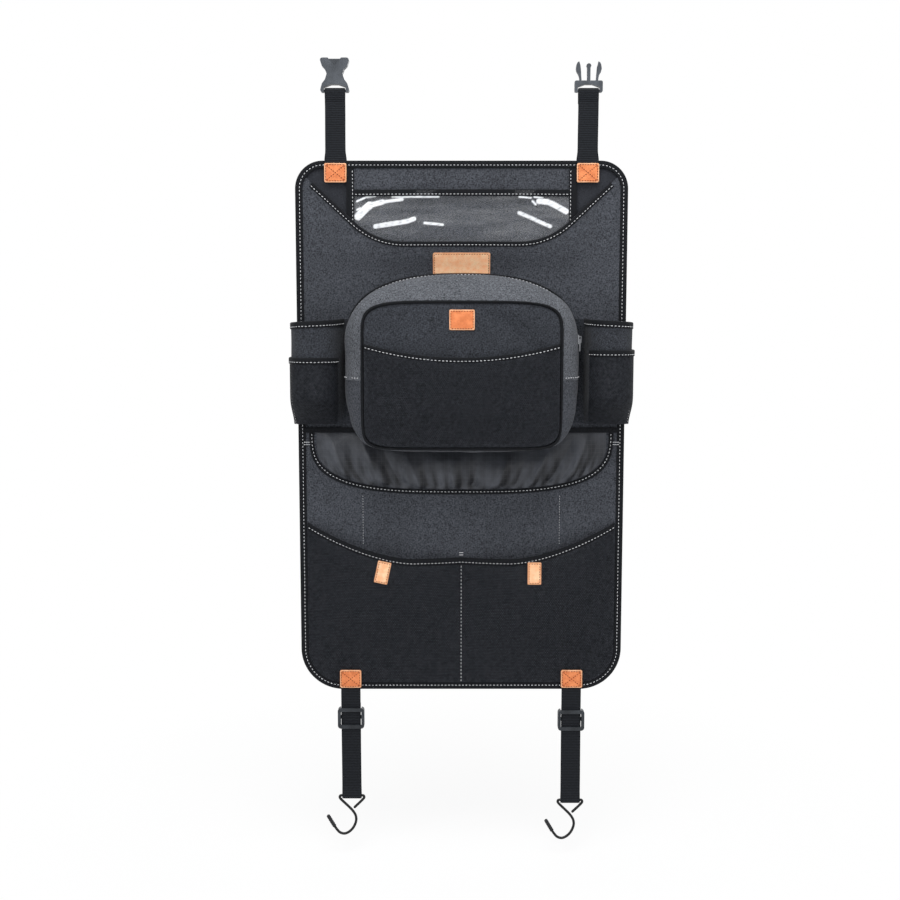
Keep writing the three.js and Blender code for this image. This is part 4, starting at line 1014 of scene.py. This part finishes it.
# Window pocket
def painted_glints_on(film):
    """How strongly each point of the film shows a painted highlight, with ragged edges to the strokes."""
    painted_glint = np.zeros(film.shape[:2])
    for path, width in PAINTED_GLINTS:
        path = np.array(path, float)
        for start, end in zip(path, path[1:]):
            along = end - start
            gap = film[..., [0, 2]] - start
            share = np.clip(gap @ along / (along @ along), 0, 1)
            off = np.linalg.norm(gap - share[..., None] * along, axis=-1)
            painted_glint = np.maximum(painted_glint, 1 - smoothstep(off, width * 0.5 - 0.5, width * 0.5 + 0.9))
    ragged = 0.5 + 0.5 * ripple(film[..., 0], film[..., 2] * 2, 97, 9)
    return painted_glint * (np.clip(0.55 + ragged, 0, 1) * 0.92)


def build_window():
    side = WINDOW_X + WINDOW_TAPE - GAP
    columns = spread(side, 5)
    backing = height_map(columns, WINDOW_BACKING_FOOT, PANEL_Z - SHEET_INSET, 26, CANVAS_REAR)
    piece = cloth("window_backing", backing, CANVAS, "canvas", "window_panel")
    sheet(piece, backing, "laid", "padded_panel")

    film_top = WINDOW_MOUTH - TAPE_PLY - GAP

    def creased(x, z):
        loose = smoothstep(z, WINDOW_FOOT + 6, WINDOW_MOUTH - 20) * (1 - smoothstep(np.abs(x), 100, 128))
        return film_depth(x, z) + 0.9 * loose * ripple(x * 0.55, z * 1.5, 11, 44)

    film = height_map(spread(side - 1, 1.1), WINDOW_FOOT, film_top, 68, creased)
    piece = cloth("clear_window", film, FILM, "film", "window_film")
    sheet(piece, film, "hung", "window_backing")
    # Painted highlights: marks where the film's material shows white strokes
    mark(piece, "painted_glint", painted_glints_on(film))

    x = np.linspace(-(WINDOW_X - GAP), WINDOW_X - GAP, 190)[:, None]
    place = on_rim(x, WINDOW_MOUTH, lambda x, z: film_depth(x, film_top))
    ply = TAPE_PLY - GAP
    tape("window_mouth_tape", "window_binding", place, 8, ply, FILM, 5.7, seed=7, pucker=0.1)

    for name, sign in SIDES:
        across = sign * (WINDOW_X + WINDOW_TAPE / 2) + np.linspace(-0.5, 0.5, 9) * WINDOW_TAPE
        edge = 0.22 * (np.abs(np.linspace(-1, 1, 9)) > 0.95)
        strip = height_map(across, WINDOW_TAPE_FOOT, PANEL_Z - EDGE_TAPE - GAP, 50, WINDOW_TAPE_REAR)
        front = strip + np.array([0, 1, 0]) * (STRIP - edge[None, :, None])
        front[..., 1] += 0.12 * ripple(strip[..., 0], strip[..., 2], 13, 16)
        replace(slab(f"window_side_tape_{name}", strip, front, "tape"), f"window_tape_{name}")
        run = np.linspace(WINDOW_TAPE_FOOT + 2, PANEL_Z - EDGE_TAPE - 2, 40)
        line = points_at(sign * (WINDOW_X + 1.6), WINDOW_TAPE_REAR + STRIP, run)
        seam(f"window_side_stitches_{name}", line)


# Front panel
def front_surface(x, z):
    """The canvas with soft creases where nothing is sewn over it."""
    bare = smoothstep(z, 196, 204) + (1 - smoothstep(z, -84, -76)) * (1 - smoothstep(z, -112, -104))
    crease = 0.3 * np.clip(bare, 0, 1) * ripple(x, z, 17, 46)
    return front_depth(x, z) + crease * smoothstep(rim_distance(x, z), 12, 30)


def build_front_panel():
    def top(x):
        return np.minimum(scoop_height(x) - TAPE_PLY - GAP, panel_top(x, SHEET_INSET))

    front = height_map(spread(PANEL_X - SHEET_INSET, 3.6, 30), sheet_foot, top, 150, front_surface)
    sheet(cloth("front_canvas", front, CANVAS, "canvas", "front_panel"), front, "laid", "padded_panel")

    x = np.linspace(-SCOOP_END, SCOOP_END, 300)[:, None]
    slope = scoop_height(x + 0.5) - scoop_height(x - 0.5)
    down = np.stack([slope, -np.ones_like(slope)], -1) / np.sqrt(1 + slope ** 2)[..., None]

    def place(inset, lift):
        px = x + down[..., 0] * inset
        pz = scoop_height(x) + down[..., 1] * inset
        return points_at(px, front_depth(px, pz) + lift, pz)

    tape("scoop_tape", "scoop_binding", place, SCOOP_TAPE, TAPE_PLY, CANVAS, 4.2, seed=19)

    def label_depth(x, z):
        return front_depth(x, z) + CANVAS + GAP

    half, level = LABEL
    place = (0, level)
    leather("leather_label", "label_patch", place, half, 2, label_depth, 1.2, material="pale_leather")


# Pouch
def band_round(depths, part, count):
    """The inner surface of a band round the pouch, with its outward directions."""
    inner = np.stack([pouch_row(depth, POUCH_WALL, part, count) for depth in depths])
    return inner, outward_of(inner, (inner - (0, 0, POUCH_MIDDLE)) * (1, 0, 1))


def gusset(name, part, depths, count, node, seed, swing, material="light_lit_canvas"):
    """A band round the pouch with soft creases that fade at its seams."""
    inner, normal = band_round(depths, part, count)
    rows = np.linspace(0, 1, len(depths))[:, None]
    along = np.linspace(0, 1, count)[None, :] * 400
    free = np.sin(math.pi * rows) ** 0.7
    bump = swing * free * ripple(along, rows * (depths[-1] - depths[0]) * 1.6, seed, 40)
    inner = inner + normal * bump[..., None]
    piece = replace(slab(name, inner, inner + normal * POUCH_WALL, material), node)
    if depths[-1] - depths[0] > NARROWEST_SHEET:
        sheet(piece, inner, "stretched", "pouch_rear_sheet")


def pouch_line(depth, count):
    """A line of points over the pouch with the directions away from it."""
    line = pouch_row(depth, 0, "upper", count)
    return line, unit((line - pouch_row(depth, 4, "upper", count)) * (1, 0, 1))


def build_pouch_walls():
    ring = pouch_row(GUSSET_REAR, 0, "ring", 220)
    scales = np.linspace(0.04, 1, 14)
    shells = [
        ring * (scale, 0, scale) + (0, depth, POUCH_MIDDLE * (1 - scale))
        for depth, order in ((POUCH_REAR, scales), (POUCH_REAR + CANVAS, scales[::-1])) for scale in order
    ]
    back = replace(make("pouch_rear_sheet", *loft(shells), "canvas"), "pouch_back")

    # The upper bands take the lighter canvas, partly painted light where they face up
    depths = np.linspace(GUSSET_REAR, ZIP_START - GAP, 7)
    gusset("pouch_rear_band", "upper", depths, 300, "pouch_gusset_rear", 23, 0.3)
    depths = np.linspace(ZIP_END + GAP, GUSSET_FRONT, 22)
    gusset("pouch_front_band", "upper", depths, 300, "pouch_gusset_front", 29, 1.1)
    depths = np.linspace(GUSSET_REAR, GUSSET_FRONT, 26)
    gusset("pouch_lower_band", "lower", depths, 240, "pouch_gusset_lower", 31, 1.0, "canvas")


def build_zip():
    depths = np.linspace(ZIP_START, ZIP_END, 15)
    middle = (ZIP_START + ZIP_END) / 2
    bump = 2.6 * (1 - smoothstep(np.abs(depths - middle), 0.9, 2.3))
    inner, normal = band_round(depths, "upper", 300)
    outer = inner + normal * (POUCH_WALL + bump[:, None, None] * 0.7)
    replace(slab("zip_tape", inner, outer, "tape"), "zipper_tape")
    line, away = pouch_line(middle, 330)
    forward = np.broadcast_to((0.0, 1.0, 0.0), line.shape)
    threads("zip_teeth", line + away * 1.8, forward, away, 3.4, 0.62, "dark_thread")

    for name, depth in (("rear", ZIP_START - 2.4), ("front", ZIP_END + 2.6)):
        line, away = pouch_line(depth, 300)
        seam(f"zip_stitches_{name}", line + away * 0.1, away)
    # Short rows on the pouch's sides, in front of the zip slider's way
    run = np.linspace(ZIP_END + 5, GUSSET_FRONT - 2, 24)
    wall = swell(POUCH_X, (run - GUSSET_REAR) / POUCH_DEEP)
    for name, sign in SIDES:
        line = points_at(sign * (wall + 0.8), run, POUCH_SEAM + 3.2)
        seam(f"pouch_side_stitches_{name}", line, (sign, 0, 0))


def build_piping():
    core = pouch_row(GUSSET_FRONT, PIPING / 2, "ring", 420)
    out = unit(core - pouch_row(GUSSET_FRONT, PIPING / 2 + 3, "ring", 420))
    core[:, 1] = PIPING_DEPTH
    turn = np.linspace(0, math.tau, 12, endpoint=False)
    wave = 1 + 0.05 * np.sin(np.arange(420) * math.tau / 7)
    tube = np.stack([
        core + PIPING * wave[:, None] * (out * math.cos(a) + np.array([0, math.sin(a), 0])) for a in turn
    ], 1)
    replace(make("piping_cord", *loft(tube, joined=True), "tape"), "pouch_piping")


def build_pouch_face():
    inset = 1.5 * PIPING + GAP
    half, rise, drop = POUCH_X[2] - inset, POUCH_RISE[2] - inset, POUCH_DROP[2] - inset

    def top(x):
        return POUCH_SHOULDER + rise * arch(x, half, POUCH_TOP_POWER[2])

    def foot(x):
        return POUCH_SEAM - drop * arch(x, half, POUCH_FOOT_POWER[2])

    def soft(x, z):
        edge = np.minimum(np.minimum(half - np.abs(x), top(x) - z), z - foot(x))
        crease = 0.7 * smoothstep(edge, 0, 18) * ripple(x, z, 37, 60)
        return front_crown(x, z) + crease - 1.1 * (1 - smoothstep(edge, 0, 5))

    face = height_map(spread(half, 3, 40), foot, top, 64, soft)
    # The darker canvas of the pouch's face is partly painted shade
    piece = cloth("pouch_face", face, POUCH_WALL, "dark_shaded_canvas", "pouch_front")
    sheet(piece, face, "stretched", "piping_cord")

    def label_depth(x, z):
        return front_crown(x, z) + POUCH_WALL + 2 * GAP

    half, level = POUCH_LABEL
    leather("pouch_leather_label", "pouch_label", (0, level), half, 1.5, label_depth, 1.2)


def build_pouch_net():
    half = POUCH_X[2] - POUCH_MESH_INSET + 1.2

    def foot(x):
        return POUCH_SEAM - (POUCH_DROP[2] - POUCH_MESH_INSET) * arch(x, half + 0.6, POUCH_FOOT_POWER[2])

    def slack(x, z):
        free = (1 - smoothstep(np.abs(x), half - 20, half)) * smoothstep(z - foot(x), 0, 20)
        return pouch_mesh_depth(x, z) + 0.8 * free * (0.6 + ripple(x, z, 41, 50))

    net = height_map(spread(half, 3, 30), foot, lambda x: pouch_mesh_top(x) - TAPE_PLY - GAP, 46, slack)
    sheet(cloth("pouch_net", net, MESH, "net", "pouch_mesh"), net, "hung", "pouch_net_tape")

    place = on_rim(np.linspace(-half, half, 210)[:, None], pouch_mesh_top, pouch_mesh_depth)
    tape("pouch_net_tape", "pouch_mesh_binding", place, 6, TAPE_PLY, MESH, 4.3, seed=43)


# Side pockets
def build_side_pocket(name, sign):
    u = np.linspace(0, 1, 150)
    wall_top = cup_rim(u) - TAPE_PLY - GAP

    def layer(rows, us, out, rim, crease=0.0):
        tops = cup_rim(us) - TAPE_PLY - GAP
        lines = []
        for share in rows:
            z = np.minimum(mix(CUP_FOOT, tops, share), rim)
            row = float(np.mean((z - CUP_FOOT) / (tops - CUP_FOOT)))
            fade = math.sin(math.pi * min(max(share, 0), 1)) ** 0.5 * np.sin(math.pi * us) ** 0.5
            wave = crease * fade * ripple(us * 190, z, 47 + sign, 42)
            lines.append(cup_points(sign, row, us, out + wave, z))
        return np.stack(lines)

    rows = np.concatenate([np.linspace(0, 0.3, 16), np.linspace(0.3, 1, 30)[1:]])
    inner = layer(rows, u, -CUP_WALL / 2, wall_top, 0.5)
    outer = layer(rows, u, CUP_WALL / 2, wall_top, 0.5)
    # The darker canvas of the side pocket is partly painted shade
    wall = replace(slab(f"side_pocket_{name}", inner, outer, "dark_shaded_canvas"), f"bottle_pocket_{name}")
    sheet(wall, inner, "hung", "front_canvas")

    def rim_place(us, rim, base):
        def place(inset, lift):
            top, pairs = found(rim, us), zip(inset[0], lift[0])
            return np.stack([cup_points(sign, 1, us, base + out, top - down) for down, out in pairs], 1)
        return place

    place = rim_place(np.linspace(0.1, 0.8, 170), cup_rim, -CUP_WALL / 2)
    side_tape(f"side_pocket_tape_{name}", f"bottle_binding_{name}", place, 8, CUP_WALL, 5.9, sign)

    net_out = CUP_WALL / 2 + PLY_ROOM
    rim = CUP_MESH_RIM[name]
    net_u = np.linspace(0.15, 0.65, 110)
    rows = np.concatenate([np.linspace(0, 0.3, 14), np.linspace(0.3, 1, 16)[1:]])
    inner = layer(rows, net_u, net_out, rim - TAPE_PLY - GAP)
    outer = layer(rows, net_u, net_out + MESH, rim - TAPE_PLY - GAP)
    net = replace(slab(f"side_net_{name}", inner, outer, "close_net"), f"bottle_mesh_{name}")
    sheet(net, inner, "hung", f"side_pocket_{name}")
    place = rim_place(net_u, rim, net_out)
    side_tape(f"side_net_tape_{name}", f"bottle_mesh_binding_{name}", place, 7.5, MESH, 5.4, sign)


def build_side_band(name, sign):
    across = np.linspace(*sorted(sign * x for x in BAND_X), 40)
    rear = EDGE_FRONT + GAP
    band = height_map(across, *BAND_Z, 7, rear)
    front = band + (0, STRIP, 0)
    front[[0, -1], :, 1] -= 0.3
    front[..., 1] += 0.1 * ripple(band[..., 0], band[..., 2], 53, 14)
    replace(slab(f"side_pocket_band_{name}", band, front, "tape"), f"bottle_band_{name}")
    line = points_at(across[2:-2], rear + STRIP, 1.8)
    seam(f"side_pocket_band_stitches_{name}", line, material="dark_thread")


def side_tape(name, node, place, width, inside, stitch, sign):
    """A tape on a side pocket's rim, with stitches that face away from its wall."""
    tape(name, node, place, width, TAPE_PLY, inside, stitch, seed=59 + sign, pucker=0.0, seam_on=False)
    high = inside + GAP + TAPE_PLY
    line = place(np.array([[stitch]]), np.array([[high - 0.2]]))[:, 0]
    away = line - place(np.array([[stitch]]), np.array([[high - 1.2]]))[:, 0]
    seam(f"{name}_stitches", line, away)


# Gathered pocket
def build_gathered_pocket():
    half = GATHER_X - 2

    def pleated(x, z):
        height = gather_height(x, z)
        near = (1 - height) ** 0.9 * smoothstep(height, 0, 0.14)
        lean = x - 0.55 * (z - gather_foot(x)) * np.tanh(x / 70) + 8 * ripple(x * 0.3, 0 * z, 63, 24)

        def creases(rise, width, shift):
            place = (lean + shift) / width
            return rise * (np.abs(place - np.floor(place) - 0.5) * 2 - 0.5)

        fan = 0.6 + 0.4 * ripple(lean, 0 * z, 65, 70)
        folds = near * (fan * creases(*LARGE_FOLDS) + (1 - height) ** 2 * creases(*SMALL_FOLDS))
        loose = np.sin(math.pi * height) ** 0.8 * 1.6 * ripple(x * 0.7, z * 1.2, 71, 52)
        ends = 1 - smoothstep(np.abs(x), half - GATHER_ENDS, half)
        lift = (gather_depth(x, z) - OVER_CANVAS + folds + loose) * ends
        return np.maximum(OVER_CANVAS + lift, CANVAS_FRONT + 0.1)

    grid = height_map(spread(half, 1.4), gather_foot, BAND_Z[0] - GAP, 64, pleated)
    nylon = cloth("gathered_nylon", grid, MESH, "nylon", "gathered_pocket")
    # Painted light and shade for the nylon's material: folds sloping one way lighter, the other way darker
    slope = np.gradient(grid[..., 1], axis=1) / np.gradient(grid[..., 0], axis=1)
    mark(nylon, "painted_facet_shade", np.clip(0.5 + 0.75 * slope, 0, 1))
    sheet(nylon, grid, "gathered", "front_canvas")


def build_gathered_tape():
    angle = -math.pi * np.linspace(0.001, 0.999, 1600)
    grip = 2 / GATHER_POWER

    def edge(out):
        x = (GATHER_X + out) * signed_power(np.cos(angle), grip)
        return even(np.stack([x, (GATHER_Z + out) * signed_power(np.sin(angle), grip)], -1), 260)

    near, far = edge(GAP + 1.2), edge(7)
    steps = np.arange(260)
    wave = 0.12 * np.sin(steps * 0.9) * np.sin(steps * 0.17)
    stitch = 0.42
    # The tape's section: shares of its width, and heights over the canvas
    section = (
        (0, 0), (1, 0), (1, 1.1), (0.9, 1.6), (0.55, 1.7), (stitch, 1.35), (0.28, 1.7), (0.08, 1.6),
        (0, 1.1),
    )
    rings = []
    for share, lift in section:
        x, z = mix(near, far, share).T
        rings.append(points_at(x, OVER_CANVAS + lift + wave * (lift > 1), z))
    replace(make("gathered_tape", *loft(np.stack(rings, 1)), "tape"), "gathered_binding")
    x, z = mix(near, far, stitch).T
    seam("gathered_stitches", points_at(x, OVER_CANVAS + 1.4, z))
    for name, sign in SIDES:
        bar_tack(f"bar_tack_{name}", (sign * EDGE_TACK[0], EDGE_TACK[1]), EDGE_FRONT + 0.1, 8)


def bar_tack(name, centre, depth, length):
    """Two close rows of thread across a tape, sewn over and over."""
    rows = np.repeat((-1.5, 1.5), 3)
    steps = np.tile(np.linspace(-length / 3, length / 3, 3), 2)
    middles = points_at(centre[0] + steps, depth, centre[1] + rows)
    along, away = (np.broadcast_to(way, middles.shape) for way in ((1.0, 0, 0), (0, 1.0, 0)))
    return threads(name, middles, along, away, length / 3, 0.42)


# Net pockets at the foot
def build_foot_nets():
    inset = EDGE_TAPE + GAP
    half = PANEL_X - inset - 0.4

    def slack(x, z):
        free = np.sin(np.minimum(np.abs(x) / half, 1) * math.pi)
        free = free * smoothstep(z - panel_foot(x, inset), 4, 40)
        return foot_mesh_depth(x, z) + 1.1 * free * ripple(x, z, 73, 70)

    columns = spread(half, 3.2, 44)
    net = height_map(columns, panel_foot(columns, inset), foot_mesh_top(columns) - TAPE_PLY - GAP, 60, slack)
    sheet(cloth("foot_net", net, MESH, "net", "mesh_pocket"), net, "hung", "foot_net_tape")

    x = np.linspace(-half + 1, half - 1, 340)[:, None]
    place = on_rim(x, foot_mesh_top, lambda x, z: foot_mesh_depth(x, foot_mesh_top(x)))
    stitch = FOOT_TAPE - FOOT_STITCH
    tape("foot_net_tape", "mesh_pocket_binding", place, FOOT_TAPE, TAPE_PLY, MESH, stitch, seed=79)

    run = np.linspace(FOOT_SEAM_END, FOOT_CENTRE - 4, 60)
    seam("foot_net_middle_stitches", points_at(0, foot_mesh_depth(0, run) + MESH + 0.1, run))
    bar_tack("foot_net_bar_tack", (0, FOOT_TACK), foot_mesh_depth(0, FOOT_TACK) + MESH + 1.4, 5)
    for i, row_x in enumerate(CANVAS_ROWS):
        run = np.linspace(foot_mesh_top(row_x) + 2, CANVAS_ROW_TOP, 26)
        line = points_at(row_x, front_surface(row_x, run) + CANVAS, run)
        seam(f"front_canvas_stitches_{i}", line, pitch=3.2, length=1.6, radius=0.26)

    for name, tab_x, lean in TABS:
        z = foot_mesh_top(tab_x) - FOOT_TAPE + 1
        depth = foot_mesh_depth(tab_x, z) + MESH + 2 * GAP + TAPE_PLY
        turn = math.radians(lean)
        centre = (tab_x + TAB[1] * math.sin(turn), z - TAB[1] * math.cos(turn))
        leather(f"leather_tab_{name}", f"tab_{name}", centre, TAB, 1, depth, 2, lean, "pale_leather")


# Straps
def looped_path(rear, sewn_end, level, bar, back_end):
    """The strap's path of depth and height, from its sewn end to a bar, round it and back behind itself."""
    front = rear + WEBBING / 2
    back = front - WEBBING - GAP
    middle, turn = (front + back) / 2, math.copysign(1, level - sewn_end)
    radius = bar + LOOP_GAP + WEBBING / 2
    near, far = level - turn * DOUBLED * 0.6, level - turn * DOUBLED
    start = [(front, sewn_end), (front, far), ((middle + radius + front) / 2, near)]
    angles = np.linspace(0, math.pi, 13)
    arc = [(middle + radius * math.cos(a), level + turn * radius * math.sin(a)) for a in angles]
    end = [((middle - radius + back) / 2, near), (back, far), (back, back_end)]
    return np.array(start + arc + end)


def webbing(name, x, path, node, seed):
    """Webbing with rolled edges and fine ribs across it, along a path of depth and height."""
    line = even(path, max(int(run_of(path)[-1] / 0.7), 30))
    along = unit(np.gradient(line, axis=0))
    face = np.stack([along[:, 1], -along[:, 0]], -1)
    across = np.concatenate([np.linspace(-1, 1, 13), np.linspace(1, -1, 13)])
    sides = np.repeat((-1.0, 1.0), 13)
    thick = WEBBING / 2 * (1 - 0.45 * (np.abs(across) > 0.97))
    ribs = 0.14 * ((np.arange(len(line)) % 3) == 0)
    random = np.random.default_rng(seed)
    sway = 0.12 * np.sin(np.linspace(0, 9, len(line)) + random.random() * 6)
    flare = 1 + 0.1 * np.exp(-((line[:, 1] - FLARE_LEVEL) / 7) ** 2)
    lift = sides * (thick - ribs[:, None])
    points = points_at(x + across * flare[:, None] * STRAP_WIDTH / 2 + sway[:, None],
                       line[:, :1] + face[:, :1] * lift, line[:, 1:] + face[:, 1:] * lift)
    return replace(make(name, *loft(points), "webbing", sharp=70), node)


def build_straps():
    half = (PATCH[0] / 2, PATCH[1] / 2)
    top, foot = TOP_STRAP_REAR + WEBBING + GAP, FOOT_STRAP_REAR + WEBBING + GAP
    for name, sign in SIDES:
        path = looped_path(TOP_STRAP_REAR, STRAP_END, BAR_LEVEL, BAR_HALF, BAR_LEVEL - DOUBLED - 2)
        webbing(f"top_webbing_{name}", sign * TOP_STRAP_X, path, f"strap_top_{name}", 83)
        back_end = GLIDE_LEVEL[name] + ABOVE_GLIDE
        path = looped_path(FOOT_STRAP_REAR, -STRAP_END, HOOK_LEVEL[name], WIRE_RADIUS, back_end)
        webbing(f"foot_webbing_{name}", sign * FOOT_STRAP_X, path, f"strap_foot_{name}", 89)
        for end, x, z, depth in (("top", PATCH_X, PATCH_Z, top), ("foot", FOOT_STRAP_X, -PATCH_Z, foot)):
            piece, node = f"strap_patch_{end}_{name}", f"patch_{end}_{name}"
            leather(piece, node, (sign * x, z), half, 2, depth, LEATHER, cross=True)


# Hooks of bent wire with a ribbed sleeve on the tip
def build_hook(name, sign):
    body = f"{name}_hook"
    route, _ = spline(np.array(HOOK_ROUTE, float), np.linspace(0, 1, 500))
    route = even(route, 150)
    run = run_of(route)
    along = unit(np.gradient(route, axis=0))
    side = np.stack([along[:, 1], -along[:, 0]], -1)
    centre = np.array([sign * FOOT_STRAP_X, FOOT_STRAP_REAR - GAP / 2, HOOK_LEVEL[name]])

    def wire(rows, radius):
        rings = []
        for a in np.linspace(0, math.tau, 20, endpoint=False):
            x, z = (route[rows] + side[rows] * (radius * math.cos(a))[:, None]).T
            rings.append(points_at(x, radius * math.sin(a), z) + centre)
        return loft(np.stack(rings, 1))

    ends = np.minimum(run, run[-1] - run)
    radius = WIRE_SHOWN * np.sqrt(1 - np.maximum(1 - ends / 0.7, 0) ** 2 * 0.8)
    replace(make(f"wire_hook_{name}", *wire(np.arange(150), radius), "wire", body), f"hook_{name}")

    covered = np.flatnonzero(run > run[-1] - SLEEVE_LENGTH)
    left = run[-1] - run[covered]
    ribbed = SLEEVE_RADIUS + 0.16 * np.sin(left * math.tau / 3.2)
    ribbed *= np.sqrt(1 - np.maximum(1 - left / 1.6, 0) ** 2 * 0.92)
    sleeve = make(f"hook_tip_sleeve_{name}", *wire(covered, ribbed), "sleeve", body)
    replace(sleeve, f"hook_sleeve_{name}")


# Moving pieces keep their CAD shapes, with rounded edges and their own materials
def finish_hardware():
    for node, material, width in (
        ("buckle_socket", "plastic", 0.5), ("buckle_plug", "plastic", 0.45),
        ("tri_glide_left", "dark_plastic", 0.5), ("tri_glide_right", "dark_plastic", 0.5),
        ("zipper_slider", "metal", 0.3), ("zipper_pull", "metal", 0.25),
    ):
        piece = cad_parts[node]
        for slot in piece.material_slots:
            slot.material = MATERIALS[material]
        bevel = piece.modifiers.new("rounded", "BEVEL")
        bevel.width = width * MM
        bevel.segments = 2
        bevel.limit_method = "ANGLE"
        bevel.angle_limit = math.radians(40)


# Camera, light and floor
def show(name, data):
    piece = bpy.data.objects.new(name, data)
    bpy.context.scene.collection.objects.link(piece)
    return piece


def look_at(piece, place, target):
    piece.location = place
    piece.rotation_euler = (target - Vector(place)).to_track_quat("-Z", "Y").to_euler()


def build_camera():
    camera = show("camera", bpy.data.cameras.new("camera"))
    bpy.context.scene.camera = camera
    camera.data.lens = LENS
    camera.data.clip_end = 30
    angle = math.radians(ELEVATION)
    look_at(camera, TARGET + Vector((0, -math.cos(angle), math.sin(angle))) * DISTANCE, TARGET)


def build_floor():
    """A pale floor that turns white further out and keeps the shadow."""
    mesh = bpy.data.meshes.new("floor")
    corners = ((-1, -1), (1, -1), (1, 1), (-1, 1))
    level = cad_low[2] - FLOOR_BELOW
    mesh.from_pydata([(x * FLOOR_REACH, y * FLOOR_REACH, level) for x, y in corners], [], [(0, 1, 2, 3)])
    pale = Finish("pale_floor", 0.85)
    tone = pale.ramp(pale.noise(3, 2), (0.3, (0.86, 0.86, 0.86, 1)), (0.7, (0.9, 0.9, 0.9, 1)))
    pale.set("Base Color", tone)
    reach = pale.node("ShaderNodeVectorMath", {0: pale.coords}, operation="LENGTH").outputs["Value"]
    far = pale.node("ShaderNodeMapRange", {"Value": reach, "From Min": 0.5, "From Max": 0.9, "To Min": 0.86})
    glow = pale.node("ShaderNodeEmission", {"Strength": 1.0})
    share = pale.math("MULTIPLY", pale.seen(), far.outputs["Result"])
    shown = pale.node("ShaderNodeMixShader", {0: share, 1: pale.shader.outputs[0], 2: glow.outputs[0]})
    pale.feed(pale.tree.nodes["Material Output"].inputs["Surface"], shown.outputs[0])
    mesh.materials.append(pale.material)
    show("floor", mesh)


def build_world():
    """Soft light on the object, white where the background is seen."""
    world = bpy.data.worlds.new("studio")
    bpy.context.scene.world = world
    world.use_nodes = True
    world.node_tree.nodes.clear()
    studio = Nodes(world.node_tree)
    kind = "ShaderNodeBackground"
    soft = studio.node(kind, {"Color": (0.95, 0.97, 1, 1), "Strength": SOFT_LIGHT})
    white = studio.node(kind, {"Color": (1, 1, 1, 1), "Strength": 1})
    both = studio.node("ShaderNodeMixShader", {0: studio.seen(), 1: soft.outputs[0], 2: white.outputs[0]})
    studio.node("ShaderNodeOutputWorld", {0: both.outputs[0]})


def build_lamps():
    for name, place, size, energy in LAMPS:
        light = bpy.data.lights.new(name, "AREA")
        light.energy = energy
        light.size = size
        look_at(show(name, light), place, Vector((0, 0, 0)))


build_camera()
build_floor()
build_world()
build_lamps()
bpy.context.scene.view_settings.view_transform = "Standard"
build_panel()
build_window()
build_front_panel()
build_pouch_walls()
build_zip()
build_piping()
build_pouch_face()
build_pouch_net()
for side, side_sign in SIDES:
    build_side_pocket(side, side_sign)
    build_side_band(side, side_sign)
build_gathered_pocket()
build_gathered_tape()
build_foot_nets()
build_straps()
for side, side_sign in SIDES:
    build_hook(side, side_sign)
finish_hardware()
